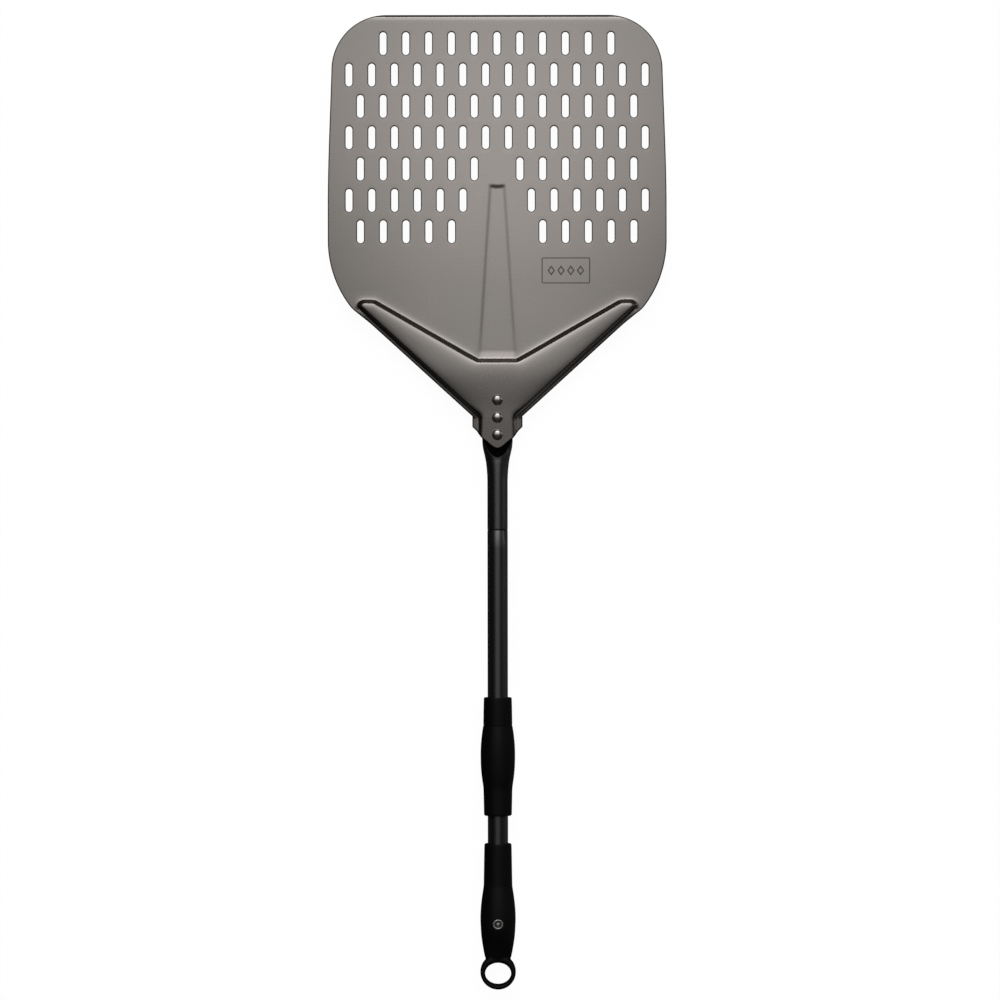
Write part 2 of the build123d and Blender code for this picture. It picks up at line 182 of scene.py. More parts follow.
def turned_piece(name, profile, segments, body, piece, sharp, closed=False):
    """Piece turned about the tube axis from a (radius, y) profile."""
    verts, faces = revolve(profile, segments, on_axis, closed)
    return new_object(name, verts, faces, body, piece, sharp)


def raw_object(name, verts, faces):
    """Unfinished object, to be cut and baked."""
    mesh = mesh_from_mm(name, verts, faces)
    face_outward(mesh)
    return link_object(name, mesh)


def cutter(raw, modifier, name, bm, place, turn=0.0):
    """Boolean tool from a millimetre bmesh, turned about z, then moved to its place."""
    mesh = bpy.data.meshes.new(name)
    bm.to_mesh(mesh)
    bm.free()
    mesh.transform(Matrix.Rotation(turn, 4, "Z"))
    mesh.transform(Matrix.Diagonal((MM, MM, MM, 1)))
    mesh.transform(Matrix.Translation(Vector(place) * MM))
    cut = link_object(name, mesh)
    boolean = raw.modifiers.new(modifier, "BOOLEAN")
    boolean.operation = "DIFFERENCE"
    boolean.solver = "EXACT"
    boolean.object = cut
    return cut


def bake(raw, cutters):
    """Mesh of the object with its modifiers applied; the working objects go."""
    depsgraph = bpy.context.evaluated_depsgraph_get()
    mesh = bpy.data.meshes.new_from_object(raw.evaluated_get(depsgraph))
    for ob in (raw, *cutters):
        bpy.data.objects.remove(ob)
    return mesh


# =====================================================================
# curves and distances in the plane
# =====================================================================


def smoothstep(start, end, value):
    t = np.clip((value - start) / (end - start), 0.0, 1.0)
    return t * t * (3 - 2 * t)


def rounded(points, radii, steps):
    """Polyline with its inner corners rounded; one radius per point, 0 keeps it sharp."""
    points = [np.array(p, float) for p in points]
    out = [points[0]]
    for before, corner, after, radius in zip(points, points[1:], points[2:], radii[1:]):
        u, v = before - corner, after - corner
        u_len, v_len = np.linalg.norm(u), np.linalg.norm(v)
        u, v = u / u_len, v / v_len
        angle = math.acos(float(np.clip(np.dot(u, v), -1, 1)))
        if radius <= 0 or abs(math.pi - angle) < 1e-3:
            out.append(corner)
            continue
        reach = min(radius / math.tan(angle / 2), 0.49 * u_len, 0.49 * v_len)
        fitted = reach * math.tan(angle / 2)
        centre = corner + (u + v) / np.linalg.norm(u + v) * (fitted / math.sin(angle / 2))
        first, last = corner + u * reach, corner + v * reach
        start = math.atan2(*(first - centre)[::-1])
        end = math.atan2(*(last - centre)[::-1])
        sweep = (end - start + math.pi) % (2 * math.pi) - math.pi
        for k in range(steps + 1):
            turn = start + sweep * k / steps
            out.append(centre + fitted * np.array([math.cos(turn), math.sin(turn)]))
    out.append(points[-1])
    return out


def resample(points, step):
    """Evenly spaced points along a polyline."""
    p = np.array(points, float)
    lengths = np.linalg.norm(np.diff(p, axis=0), axis=1)
    p = p[np.concatenate([[True], lengths > 1e-9])]
    lengths = np.linalg.norm(np.diff(p, axis=0), axis=1)
    along = np.concatenate([[0], np.cumsum(lengths)])
    count = max(2, int(round(along[-1] / step)))
    at = np.linspace(0, along[-1], count + 1)
    return np.column_stack([np.interp(at, along, p[:, 0]), np.interp(at, along, p[:, 1])])


def catmull(points, per):
    """Catmull-Rom curve through the points, with so many steps per span."""
    p = np.array(points, float)
    out = [p[0]]
    for i in range(len(p) - 1):
        a, b, c = p[max(i - 1, 0)], p[i], p[i + 1]
        d = p[min(i + 2, len(p) - 1)]
        for k in range(1, per + 1):
            t = k / per
            out.append(0.5 * ((2 * b) + (c - a) * t + (2 * a - 5 * b + 4 * c - d) * t * t
                              + (3 * b - a - 3 * c + d) * t ** 3))
    return [tuple(q) for q in out]


def edge_distance(px, py, polygon):
    """Distance from points to the nearest edge of a polygon."""
    a = np.asarray(polygon, float)
    best = np.full(px.shape, 1e9)
    for (ax, ay), (bx, by) in zip(a, np.roll(a, -1, axis=0)):
        dx, dy = bx - ax, by - ay
        square = dx * dx + dy * dy
        if square < 1e-12:
            continue
        t = np.clip(((px - ax) * dx + (py - ay) * dy) / square, 0, 1)
        best = np.minimum(best, (px - ax - t * dx) ** 2 + (py - ay - t * dy) ** 2)
    return np.sqrt(best)


def inside(px, py, polygon):
    a = np.asarray(polygon, float)
    odd = np.zeros(px.shape, bool)
    for (ax, ay), (bx, by) in zip(a, np.roll(a, -1, axis=0)):
        if ay == by:
            continue
        odd ^= ((ay > py) != (by > py)) & (px < (bx - ax) * (py - ay) / (by - ay) + ax)
    return odd


def signed(px, py, polygon):
    """Distance to the polygon's edge, positive inside."""
    distance = edge_distance(px, py, polygon)
    return np.where(inside(px, py, polygon), distance, -distance)


def loop_inset(loop, distance):
    """Moves a counter-clockwise loop inward."""
    e1 = loop - np.roll(loop, 1, axis=0)
    e2 = np.roll(loop, -1, axis=0) - loop
    e1 /= np.linalg.norm(e1, axis=1)[:, None]
    e2 /= np.linalg.norm(e2, axis=1)[:, None]
    n1 = np.column_stack([-e1[:, 1], e1[:, 0]])
    n2 = np.column_stack([-e2[:, 1], e2[:, 0]])
    normal = n1 + n2
    normal /= np.linalg.norm(normal, axis=1)[:, None]
    stretch = np.clip((normal * n1).sum(1), 0.6, 1)[:, None]
    return loop + normal * distance / stretch


# =====================================================================
# pressed shape of the sheet
# =====================================================================

# edges of the raised V, right half, as (x, y); closed far outside the sheet
V_FRONT = rounded(
    [(-60, -189.65), (19.4, -189.65), (121.4, -131.2), (136.4, -131.0), (136.4, -420),
     (-60, -420)],
    radii=[0, 2.6, 8.0, 5.6, 0, 0], steps=8)
# rear foot of the V, then the side of the neck
V_REAR = rounded(
    [(-60, 60), (300, 60), (300, 12.1), (19.1, -244.6), (19.1, -420), (-60, -420)],
    radii=[0, 0, 0, 3.5, 0, 0], steps=8)


def rise(distances, slopes):
    """Integrates relative slopes over the distance inside an edge into a rise from 0 to 1."""
    x = np.linspace(distances[0], distances[-1], 600)
    y = np.interp(x, distances, slopes)
    total = np.concatenate([[0], np.cumsum((y[1:] + y[:-1]) / 2 * np.diff(x))])
    return x, total / total[-1]


# each pair of rows: distance inside the edge, relative slope there
FRONT_D = [-8.0, -5.5, -4.0, -3.0, -2.1, -1.2, -0.1, 1.0, 1.65, 2.5, 4.0, 6.0, 9.0, 13.0]
FRONT_RISE = rise(FRONT_D, [0.0, 0.03, 0.07, 0.15, 0.55, 1.25, 1.25, 0.62, 0.42, 0.20, 0.075,
                            0.035, 0.013, 0.0])
# the same edge where it crosses the middle of the blade
MIDDLE_RISE = rise(FRONT_D, [0.0, 0.015, 0.035, 0.09, 0.90, 1.25, 1.25, 0.75, 0.22, 0.055,
                             0.025, 0.014, 0.005, 0.0])
REAR_RISE = rise(
    [0.0, 0.3, 0.8, 2.1, 2.6, 3.0, 3.6, 4.3, 5.2, 6.6, 8.2, 10.5, 13.5, 17.0, 22.0, 28.0],
    [0.0, 1.3, 2.3, 2.3, 1.10, 0.42, 0.20, 0.145, 0.115, 0.085, 0.063, 0.044, 0.03, 0.018,
     0.008, 0.0])
NECK_RISE = rise([0.0, 0.5, 1.1, 2.4, 3.3, 4.4, 6.0, 9.0],
                 [0.0, 0.7, 1.3, 1.3, 0.75, 0.30, 0.09, 0.0])

# ground front edge: distance from the front, slope there; scaled to the depth at the tip
GROUND_D = [-5.6, -4.9, -3.9, -3.1, -2.5, -2.1, 0.0]
GROUND_SLOPES = [0.0, 0.070, 0.12, 0.13, 0.16, 0.51, 0.53]
GROUND_DEPTH = 1.4
GROUND_X = np.linspace(-5.2, 0.0, 200)
GROUND_Z = np.concatenate([[0], np.cumsum(np.interp(
    (GROUND_X[1:] + GROUND_X[:-1]) / 2, GROUND_D, GROUND_SLOPES)) * (GROUND_X[1] - GROUND_X[0])])
GROUND_Z = GROUND_Z * (GROUND_DEPTH / GROUND_Z[-1])


def ground(y):
    """Depth ground away along the front: a faint shoulder, then a thin leading edge."""
    return np.interp(y - FRONT, GROUND_X, GROUND_Z)


def groove_half(y):
    """Half width of the groove: 6.1 at its front, 16.2 towards its rear."""
    return 6.1 + (-21.4 - y) * (16.2 - 6.1) / (180.0 - 21.4)


def raised(ax, y):
    """Height of the V and neck, with the droop of the sheet outside their rear foot."""
    front_d = signed(ax, y, V_FRONT)
    rear_d = signed(ax, y, V_REAR)
    mid = smoothstep(30, 15, ax)
    front = np.interp(front_d, *FRONT_RISE) * (1 - mid) + np.interp(front_d, *MIDDLE_RISE) * mid
    neck = smoothstep(-229, -249, y)
    rear = np.interp(rear_d, *REAR_RISE) * (1 - neck) + np.interp(rear_d, *NECK_RISE) * neck
    bend = 6.0                  # length over which the top turns into its slope
    dip = CROWN_TAN * bend * np.log1p(np.exp(-(y - CROWN_Y) / bend))
    droop = ((0.155 + 0.08 * smoothstep(-236, -246, y)) * np.clip(-rear_d, 0, 6)
             * smoothstep(-139, -150, y))
    return (BOSS - dip) * front * rear - droop


def form(x, y):
    """Pressed shape of the sheet's top face."""
    x, y = np.asarray(x, float), np.asarray(y, float)
    ax = np.abs(x)
    z = np.zeros(ax.shape)
    near = y < -115
    if near.any():
        z[near] = raised(ax[near], y[near])
    # groove: its walls soften towards the rear, its front end is bowed
    soft = 0.6 + 0.9 * smoothstep(-150, -184, y)
    groove = smoothstep(-3.0 - soft, 0.9 + soft, groove_half(y) - ax)
    groove = groove * smoothstep(GROOVE_FRONT + 2.4, GROOVE_FRONT - 2.0, y - 0.10 * ax * ax / 6.0)
    run_out = np.clip((y - GROOVE_REAR) / 7.6, 0, 1)
    return z - GROOVE_DEPTH * groove * run_out


def height(x, y):
    """Top face of the sheet with its ground front edge."""
    return form(x, y) - ground(np.asarray(y, float))


def thickness(x, y):
    """Vertical thickness: the sheet's own, stretched where it slopes."""
    e = 0.05
    gx = (form(x + e, y) - form(x - e, y)) / (2 * e)
    gy = (form(x, y + e) - form(x, y - e)) / (2 * e)
    return SHEET * np.minimum(np.sqrt(1 + gx * gx + gy * gy), 1.25)


# =====================================================================
# outline and slots of the blade
# =====================================================================

# rear part of the right outline, (x, y), from the end of the large arc to the tongue's tip
EAR = [(140.9, -139.6), (137.1, -142.5), (133.2, -145.6), (129.4, -148.7), (124.6, -152.6),
       (119.3, -157.4)]
FLANK = [(119.3, -157.4), (24.7, -243.7)]
NECK_SIDE = [(24.7, -243.7), (24.7, -254.2), (21.0, -257.7), (19.5, -259.7), (18.3, -261.6),
             (16.8, -263.6)]
TONGUE = [(16.8, -263.6), (15.2, -265.5), (12.7, -267.4), (10.1, -269.5), (7.6, -271.8),
          (5.0, -273.9), (2.5, -275.3), (0, -275.8)]


def half_outline():
    """Right half, from the middle of the front to the tip of the tongue."""
    points = [(x, FRONT) for x in np.linspace(0, CORNER_X, 69)][:-1]
    for k in range(41):
        t = math.radians(90 - 90 * k / 40)
        points.append((CORNER_X + CORNER_R * math.cos(t), CORNER_Y + CORNER_R * math.sin(t)))
    for k in range(1, 41):
        u = k / 40
        swell = u * u * (3 - 2 * u) * 0.45 + 0.55 * (1 - (1 - u) ** 2)
        points.append((FRONT_HALF + (WIDE_HALF - FRONT_HALF) * swell,
                       CORNER_Y + (STRAIGHT_Y - CORNER_Y) * u))
    points += [(WIDE_HALF, y) for y in np.linspace(STRAIGHT_Y, SWEEP_Y, 11)][1:]
    for k in range(1, 33):
        t = math.radians(38.1 * k / 32)
        points.append((SWEEP_X + SWEEP_R * math.cos(t), SWEEP_Y - SWEEP_R * math.sin(t)))
    neck_side = rounded(NECK_SIDE, radii=[0.5] * 6, steps=3)
    for stretch, step in (([points[-1]] + EAR, 1.3), (FLANK, 1.5), (neck_side, 0.9)):
        points += [tuple(p) for p in resample(stretch, step)[1:]]
    tip = np.array(TONGUE)
    along = np.concatenate([[0], np.cumsum(np.linalg.norm(np.diff(tip, axis=0), axis=1))])
    at = np.linspace(0, along[-1], 22)
    # soften the tongue with a small running mean
    tip = np.column_stack([np.interp(at, along, tip[:, 0]), np.interp(at, along, tip[:, 1])])
    for _ in range(2):
        tip[1:-1] = (tip[:-2] + 2 * tip[1:-1] + tip[2:]) / 4
    return points + [tuple(p) for p in tip[1:]]


def full_outline():
    """Whole outline, counter-clockwise seen from above."""
    right = half_outline()
    left = [(-x, y) for x, y in reversed(right[1:-1])]
    return np.array(right + left)[::-1].copy()


OUTLINE = full_outline()

SLOT_W, SLOT_L = 6.7, 22.5
SLOT_PITCH_X, SLOT_PITCH_Y = 22.45, 30.9


def slot_centres():
    """Staggered rows, front to rear, left free at the front corners and around the groove."""
    centres = []
    for row in range(4, -3, -1):
        columns = range(-6, 7) if row % 2 == 0 else [k + 0.5 for k in range(-7, 7)]
        for column in columns:
            corner = row == 4 and abs(column) > 5
            middle_gap = {0: 0.5, -1: 1, -2: 2}.get(row, 0)
            if not corner and abs(column) >= middle_gap:
                centres.append((column * SLOT_PITCH_X, row * SLOT_PITCH_Y))
    return centres


SLOTS = slot_centres()


def stadium(cx, cy, grow):
    """Slot outline grown outward, as a closed loop."""
    r, h, n = SLOT_W / 2 + grow, (SLOT_L - SLOT_W) / 2, 11
    turns = [math.pi * k / n for k in range(n + 1)]
    points = [(cx + r * math.cos(t), cy + h + r * math.sin(t)) for t in turns]
    points += [(cx - r, cy + h - 2 * h * k / 4) for k in range(1, 4)]
    points += [(cx - r * math.cos(t), cy - h - r * math.sin(t)) for t in turns]
    points += [(cx + r, cy - h + 2 * h * k / 4) for k in range(1, 4)]
    return np.array(points)


def slot_distance(px, py):
    """Distance to the nearest slot's edge."""
    best = np.full(px.shape, 1e9)
    h = (SLOT_L - SLOT_W) / 2
    for cx, cy in SLOTS:
        dy = np.maximum(np.abs(py - cy) - h, 0)
        best = np.minimum(best, np.hypot(px - cx, dy))
    return best - SLOT_W / 2


# =====================================================================
# blade: one pressed sheet
# =====================================================================

RIM_W, SLOT_RIM_W = 1.5, 1.25       # widths of the rolled rims
# offsets inside the V's edges where rows of points lie, most important first
FRONT_LEVELS = [0.0, -0.8, 0.7, -1.5, 1.3, -2.2, 2.0, -3.0, 2.8, -4.0, 4.0, -5.5, 5.8, -7.8,
                8.5, 12.5]
REAR_LEVELS = [0.0, 0.4, 0.8, 1.3, -0.7, 1.75, 2.15, 2.6, 3.0, 3.6, 4.4, 5.6, 7.5, 10.0, 13.5]
BACKGROUND = 30                     # priority of the plain filling points


def parallel_points(polygon, part, levels, step, keep):
    """(priority, x, y) on lines parallel to a stretch of a polygon; levels: offset, priority."""
    base = resample(part, 0.5)
    out = []
    for offset, priority in levels:
        p = resample(base, step)
        along = np.gradient(p, axis=0)
        along /= np.linalg.norm(along, axis=1)[:, None] + 1e-12
        q = p + np.column_stack([along[:, 1], -along[:, 0]]) * offset
        distance = signed(q[:, 0], q[:, 1], polygon)
        ok = (np.abs(distance - offset) < 0.12) & (q[:, 0] > -0.01) & keep(q)
        out += [(priority, x, y) for x, y in q[ok]]
    return out


def candidate_points():
    """(priority, x, y) of the right half; the lowest number wins a crowded place."""
    found = parallel_points(
        V_FRONT, V_FRONT[:-2], [(v, i) for i, v in enumerate(FRONT_LEVELS)], step=1.8,
        keep=lambda q: (q[:, 1] > -300) & (signed(q[:, 0], q[:, 1], V_REAR) > -0.6))
    found += parallel_points(
        V_REAR, V_REAR[2:-1], [(v, i + 0.5) for i, v in enumerate(REAR_LEVELS)], step=1.6,
        keep=lambda q: ((q[:, 1] > -280) & (q[:, 0] < 140)
                        & (signed(q[:, 0], q[:, 1], V_FRONT) > -0.6)))
    # groove: rows along its walls, then its floor
    for y in list(np.arange(-12, -178, -2.6)) + list(np.arange(-178.5, -189, -0.95)):
        half = groove_half(y)
        found += [(3, half - off, y) for off in (-3.6, -2.7, -1.9, -1.1, -0.3, 0.5, 1.4)]
        found += [(6, (half - 1.4) * share, y) for share in (0.0, 0.33, 0.66)]
    # front end of the groove
    found += [(4, x, y) for y in np.arange(-13.5, -22, -0.9) for x in np.arange(0, 9.2, 1.3)]
    # ground front edge
    found += [(2, x, FRONT - back) for x in np.arange(0, 137, 1.6)
              for back in (5.6, 4.9, 4.2, 3.6, 3.0, 2.5, 2.1)]
    # staggered background
    for y in np.arange(-276, 150, 4.6):
        shift = 2.3 if int(round((y + 276) / 4.6)) % 2 else 0
        found += [(BACKGROUND, x + shift, y) for x in np.arange(0, 168, 4.6)]
    found.sort(key=lambda c: c[0])
    return found


def thinned(points, priorities):
    """Drops points that crowd an earlier one; a grid of cells keeps the search short."""
    cell = 2.6
    cells, kept = {}, []
    for (x, y), priority in zip(points, priorities):
        gap = 0.32 if priority < 20 else 2.6
        i, j = int(x // cell), int(y // cell)
        near = (q for a in (i - 1, i, i + 1) for b in (j - 1, j, j + 1)
                for q in cells.get((a, b), ()))
        if not any((qx - x) ** 2 + (qy - y) ** 2 < gap * gap for qx, qy in near):
            cells.setdefault((i, j), []).append((x, y))
            kept.append((x, y))
    return np.array(kept)


def sheet_points(rim_in):
    """Inner points of the sheet, both halves."""
    found = candidate_points()
    points = np.array([(x, y) for _, x, y in found])
    priorities = np.array([priority for priority, _, _ in found])
    x, y = points[:, 0], points[:, 1]
    ok = inside(x, y, rim_in) & (edge_distance(x, y, rim_in) > 0.55)
    ok &= slot_distance(x, y) > SLOT_RIM_W + 0.9
    kept = thinned(points[ok], priorities[ok])
    kept[np.abs(kept[:, 0]) < 0.3, 0] = 0.0
    return np.vstack([kept, kept[kept[:, 0] > 0.2] * np.array([-1, 1])])


def triangulate(loops, points):
    """Plan points, counter-clockwise triangles and the point numbers of each loop."""
    coords, edges, spans = [], [], []
    for loop in loops:
        start, count = len(coords), len(loop)
        spans.append(range(start, start + count))
        coords += [Vector((float(x), float(y))) for x, y in loop]
        edges += [(start + k, start + (k + 1) % count) for k in range(count)]
    coords += [Vector((float(x), float(y))) for x, y in points]
    plan, _, faces, origins, _, _ = geometry.delaunay_2d_cdt(coords, edges, [], 0, 1e-5)
    plan = np.array([(p.x, p.y) for p in plan])
    number = {i: k for k, origin in enumerate(origins) for i in origin}
    triangles = np.array([face for face in faces if len(face) == 3])
    centre = plan[triangles].mean(1)
    good = inside(centre[:, 0], centre[:, 1], loops[0])
    good &= slot_distance(centre[:, 0], centre[:, 1]) > SLOT_RIM_W - 0.09
    triangles = triangles[good]
    a, b, c = (plan[triangles[:, i]] for i in range(3))
    u, v = b - a, c - a
    clockwise = (u[:, 0] * v[:, 1] - u[:, 1] * v[:, 0]) < 0
    triangles[clockwise] = triangles[clockwise][:, ::-1]
    return plan, triangles, [[number[i] for i in span] for span in spans]


def rim_rings(loop_at, width, top_r, bottom_r, roll):
    """Loops and heights over a rim: rolled top edge, wall, eased bottom edge."""
    rings = []
    steps = [(width * 0.8, 0.0), (width * 0.62, 0.0)]
    steps += [(top_r * (1 - math.sin(t)), top_r * 0.70 * (1 - math.cos(t)))
              for t in np.radians([6, 18, 31, 45, 60, 75, 90])]
    for inset, drop in steps:
        loop = loop_at(inset)
        unground = np.clip(1 - ground(loop[:, 1]) / 1.0, 0, 1)
        fall = (drop + roll * (1 - min(inset / width, 1)) ** 2) * unground
        rings.append((loop, height(loop[:, 0], loop[:, 1]) - fall))
    wall, top = rings[-1]
    foot = np.minimum(form(wall[:, 0], wall[:, 1]) - SHEET + bottom_r, top - 0.06)
    rings.append((wall, 0.5 * top + 0.5 * foot))
    for t in np.radians([90, 60, 30, 5]):
        loop = loop_at(bottom_r * (1 - math.sin(t)))
        z = form(loop[:, 0], loop[:, 1]) - SHEET + bottom_r * (1 - math.cos(t))
        rings.append((loop, np.minimum(z, foot)))
    loop = loop_at(width * 0.5)
    x, y = loop[:, 0], loop[:, 1]
    rings.append((loop, form(x, y) - thickness(x, y)))
    return rings


def build_blade():
    rim_in = loop_inset(OUTLINE, RIM_W)
    slot_loops = [stadium(cx, cy, SLOT_RIM_W) for cx, cy in SLOTS]
    plan, triangles, loops = triangulate([rim_in] + slot_loops, sheet_points(rim_in))

    # top face, then bottom face
    count = len(plan)
    x, y = plan[:, 0], plan[:, 1]
    verts = list(zip(x, y, height(x, y))) + list(zip(x, y, form(x, y) - thickness(x, y)))
    faces = [tuple(t) for t in triangles] + [tuple(count + i for i in t[::-1]) for t in triangles]
    # weights of the painted shade over the rolled outline and slot rims
    rim_weights = [0.0] * len(verts)

    def close(inner, rings):
        """Joins top and bottom face across a rim."""
        numbers = [inner]
        for j, (loop, heights) in enumerate(rings):
            numbers.append(list(range(len(verts), len(verts) + len(inner))))
            verts.extend((px, py, pz) for (px, py), pz in zip(loop, heights))
            rim_weights.extend([(0.2, 0.8)[j] if j < 2 else 1.0] * len(inner))
        numbers.append([count + i for i in inner])
        faces.extend(stitch(numbers, flip=True))

    close(loops[0], rim_rings(lambda d: loop_inset(OUTLINE, d), width=RIM_W, top_r=0.80,
                              bottom_r=0.15, roll=0.10))
    for inner, (cx, cy) in zip(loops[1:], SLOTS):
        close(inner, rim_rings(lambda d: stadium(cx, cy, d), width=SLOT_RIM_W, top_r=0.72,
                               bottom_r=0.12, roll=0.16))
    ob = new_object("blade_sheet", verts, faces, "head", "blade",
                    weights=("rim", rim_weights))
    # the top must face up
    up = sum(p.normal.z * p.area for p in ob.data.polygons
             if p.center.z > -0.0002 and abs(p.normal.z) > 0.9)
    if up < 0:
        ob.data.flip_normals()
    return ob


blade = build_blade()

# =====================================================================
# rivets: domed heads on the sloping neck
# =====================================================================
RIVET_YS = (-227.8, -245.1, -261.9)
RIVET_HEAD_R, RIVET_SHANK_R, RIVET_TAIL_R = 5.4, 2.5, 4.2
RIVET_REACH = SHEET + 0.02 + 2.8        # sheet and flattened tube below it


def crown(y):
    """Height of the neck's top face along the middle."""
    return BOSS if y > CROWN_Y else BOSS + (y - CROWN_Y) * CROWN_TAN


def rivet_profile():
    """(radius, height above the seat)."""
    profile = [(0.0, 2.9)]
    for k in range(1, 17):
        t = math.pi / 2 * k / 17
        profile.append((RIVET_HEAD_R * math.sin(t), 0.15 + 2.75 * math.cos(t) ** 0.92))
    profile += [(RIVET_HEAD_R, 0.12), (5.3, 0.0), (4.0, -0.05), (RIVET_SHANK_R, -0.05),
                (RIVET_SHANK_R, -RIVET_REACH + 0.05), (3.9, -RIVET_REACH + 0.02),
                (4.15, -RIVET_REACH - 0.12), (RIVET_TAIL_R, -RIVET_REACH - 0.4)]
    for k in range(1, 8):
        t = math.pi / 2 * k / 8
        profile.append((RIVET_TAIL_R * math.cos(t), -RIVET_REACH - 0.4 - 1.15 * math.sin(t)))
    return profile + [(0.0, -RIVET_REACH - 1.58)]


def build_rivets():
    across = Vector((1, 0, 0))
    along = Vector((0, math.cos(CROWN_TILT), math.sin(CROWN_TILT)))
    normal = Vector((0, -math.sin(CROWN_TILT), math.cos(CROWN_TILT)))
    verts, faces = [], []
    for y in RIVET_YS:
        seat = Vector((0, y, crown(y)))

        def place(radius, above, angle):
            return tuple(seat + across * (radius * math.cos(angle))
                         + along * (radius * math.sin(angle)) + normal * above)

        points, polygons = revolve(rivet_profile(), 48, place, flip=True)
        base = len(verts)
        verts += points
        faces += [[base + i for i in polygon] for polygon in polygons]
    return new_object("neck_rivets", verts, faces, "head", "rivets", sharp=50,
                      outward=False)


rivets = build_rivets()

# =====================================================================
# neck tube: flat and riveted in front, scooped up to round behind
# =====================================================================

# each table: row of y stations, row of values there
NECK_HALF_WIDTH = np.array([
    [-217.5, -262, -268, -271.6, -274.5, -277.5, -280.4, -283.4, -287.3, -291.3, -295.2, -299,
     -303, -308, -400],
    [15.05, 15.05, 15.0, 14.75, 14.45, 13.8, 13.1, 12.4, 11.6, 11.05, 10.65, 10.35, 10.12,
     10.0, 10.0]])
NECK_BELOW = np.array([         # height of the section's lower half
    [-217.5, -262, -268, -272, -276, -280, -284, -288, -292, -297, -400],
    [1.4, 1.4, 2.1, 3.3, 5.0, 7.4, 9.0, 9.7, 9.95, 10.0, 10.0]])
NECK_ABOVE = np.array([         # height of its upper half
    [-217.5, -259, -262, -265, -268, -271.5, -275.5, -280, -284.0, -290, -400],
    [1.4, 1.4, 2.0, 3.5, 5.2, 6.9, 8.5, 9.6, 10.0, 10.0, 10.0]])
NECK_MIDDLE = np.array([        # z of its middle
    [-217.5, -260, -268, -276, -284, -290, -400],
    [crown(-217.5) - 2.92, crown(-260) - 2.92, crown(-268) - 3.1, -2.5, -2.2, -2.0, -2.0]])
NECK_SQUARENESS = np.array([    # exponent of its superellipse, 2 is round
    [-217.5, -262, -268, -276, -284, -290, -400],
    [3.4, 3.4, 2.8, 2.2, 2.05, 2.0, 2.0]])
# rear end, (radius, y from the end): outer edge, face, then into the bore
NECK_END = [(9.98, 0.3), (9.9, 0.1), (9.75, 0), (8.85, 0), (8.68, 0.1), (BORE_R, 0.4),
            (BORE_R, 34)]
NECK_SEGMENTS = 176


def softened(y, table, reach=1.6):
    """Value of a table at y, averaged over a short stretch."""
    stations, values = table
    return sum(np.interp(-(y + off), -stations, values)
               for off in np.linspace(-reach, reach, 9)) / 9


def neck_section(y):
    """x, z and painted-shade weight of the crushed hollow around the tube at one station."""
    half = softened(y, NECK_HALF_WIDTH, reach=2.0)
    above, below = softened(y, NECK_ABOVE), softened(y, NECK_BELOW)
    mid = softened(y, NECK_MIDDLE)
    power = softened(y, NECK_SQUARENESS)
    t = 2 * math.pi * np.arange(NECK_SEGMENTS) / NECK_SEGMENTS
    c, s = np.cos(t), np.sin(t)
    x = half * np.sign(c) * np.abs(c) ** (2 / power)
    whole = mid + np.where(s > 0, above, below) * np.sign(s) * np.abs(s) ** (2 / power)
    ys = np.full(x.shape, y)
    # the crushed top rises at a steep angle from under the blade's tongue
    outside = -signed(x, ys, OUTLINE)
    flat = max(crown(y), crown(-276.0)) - 1.62
    limit = flat + 1.02 * np.maximum(outside - 0.15, 0)
    blend = 1.0
    overlap = np.maximum(blend - np.abs(whole - limit), 0)
    cut = np.minimum(whole, limit) - overlap ** 2 / (4 * blend)
    lowest = mid + 0.2
    z = np.where((s > 0) & (whole > lowest), np.maximum(cut, lowest), whole)
    # painted shade: full where the top is crushed, fading around it and towards the sides; upper
    # half only, behind y = -262
    shade = (0.85 * (1 - 0.6 * np.clip(np.abs(x) / 12, 0, 1))
             * (1 - smoothstep(0.0, 4.2, limit - whole)))
    hollow_shade = np.maximum(smoothstep(0.0, 0.08, whole - z), shade)
    return x, z, hollow_shade * smoothstep(-262.0, -268.0, ys) * (s > 0)


def build_neck_tube():
    stations = np.concatenate([np.linspace(-217.5, -258, 12), np.linspace(-259.5, -294, 92),
                               np.linspace(-296, -354.6, 20)])
    # recess collects the painted shade of the crushed hollow, one value per point
    verts, recess = [], []
    for y in stations:
        x, z, hollow_shade = neck_section(y)
        verts += [(px, y, pz) for px, pz in zip(x, z)]
        recess += [float(value) for value in hollow_shade]
    for radius, off in NECK_END:
        verts += [on_axis(radius, NECK_REAR + off, 2 * math.pi * k / NECK_SEGMENTS)
                  for k in range(NECK_SEGMENTS)]
    rings = [list(range(start, start + NECK_SEGMENTS))
             for start in range(0, len(verts), NECK_SEGMENTS)]
    faces = stitch(rings, flip=True)
    # closed ends
    for ring, rear in ((rings[0], False), (rings[-1], True)):
        centre = len(verts)
        verts.append(tuple(np.array([verts[i] for i in ring]).mean(0)))
        for a, b in zip(ring, ring[1:] + ring[:1]):
            faces.append((centre, b, a) if rear else (centre, a, b))
    recess += [0.0] * (len(verts) - len(recess))
    return new_object("neck_tube_skin", verts, faces, "head", "neck_tube", sharp=40,
                      weights=("recess", recess))


neck_tube = build_neck_tube()

# =====================================================================
# handle tube and joint
# =====================================================================


def build_handle_tube():
    """Plain tube with eased ends."""
    ease = 0.25
    front, rear = HANDLE_FRONT, HANDLE_REAR
    slight, inner = ease * 0.3, ease * 0.6
    profile = [(BORE_R + inner, front), (TUBE_R - ease, front), (TUBE_R - slight, front - slight)]
    profile += [(TUBE_R, y) for y in np.linspace(front - ease, rear + ease, 24)]
    profile += [(TUBE_R - slight, rear + slight), (TUBE_R - ease, rear), (BORE_R + inner, rear),
                (BORE_R, rear + inner), (BORE_R, front - inner)]
    return turned_piece("handle_tube_skin", profile, 128, "handle", "handle_tube",
                        sharp=40, closed=True)


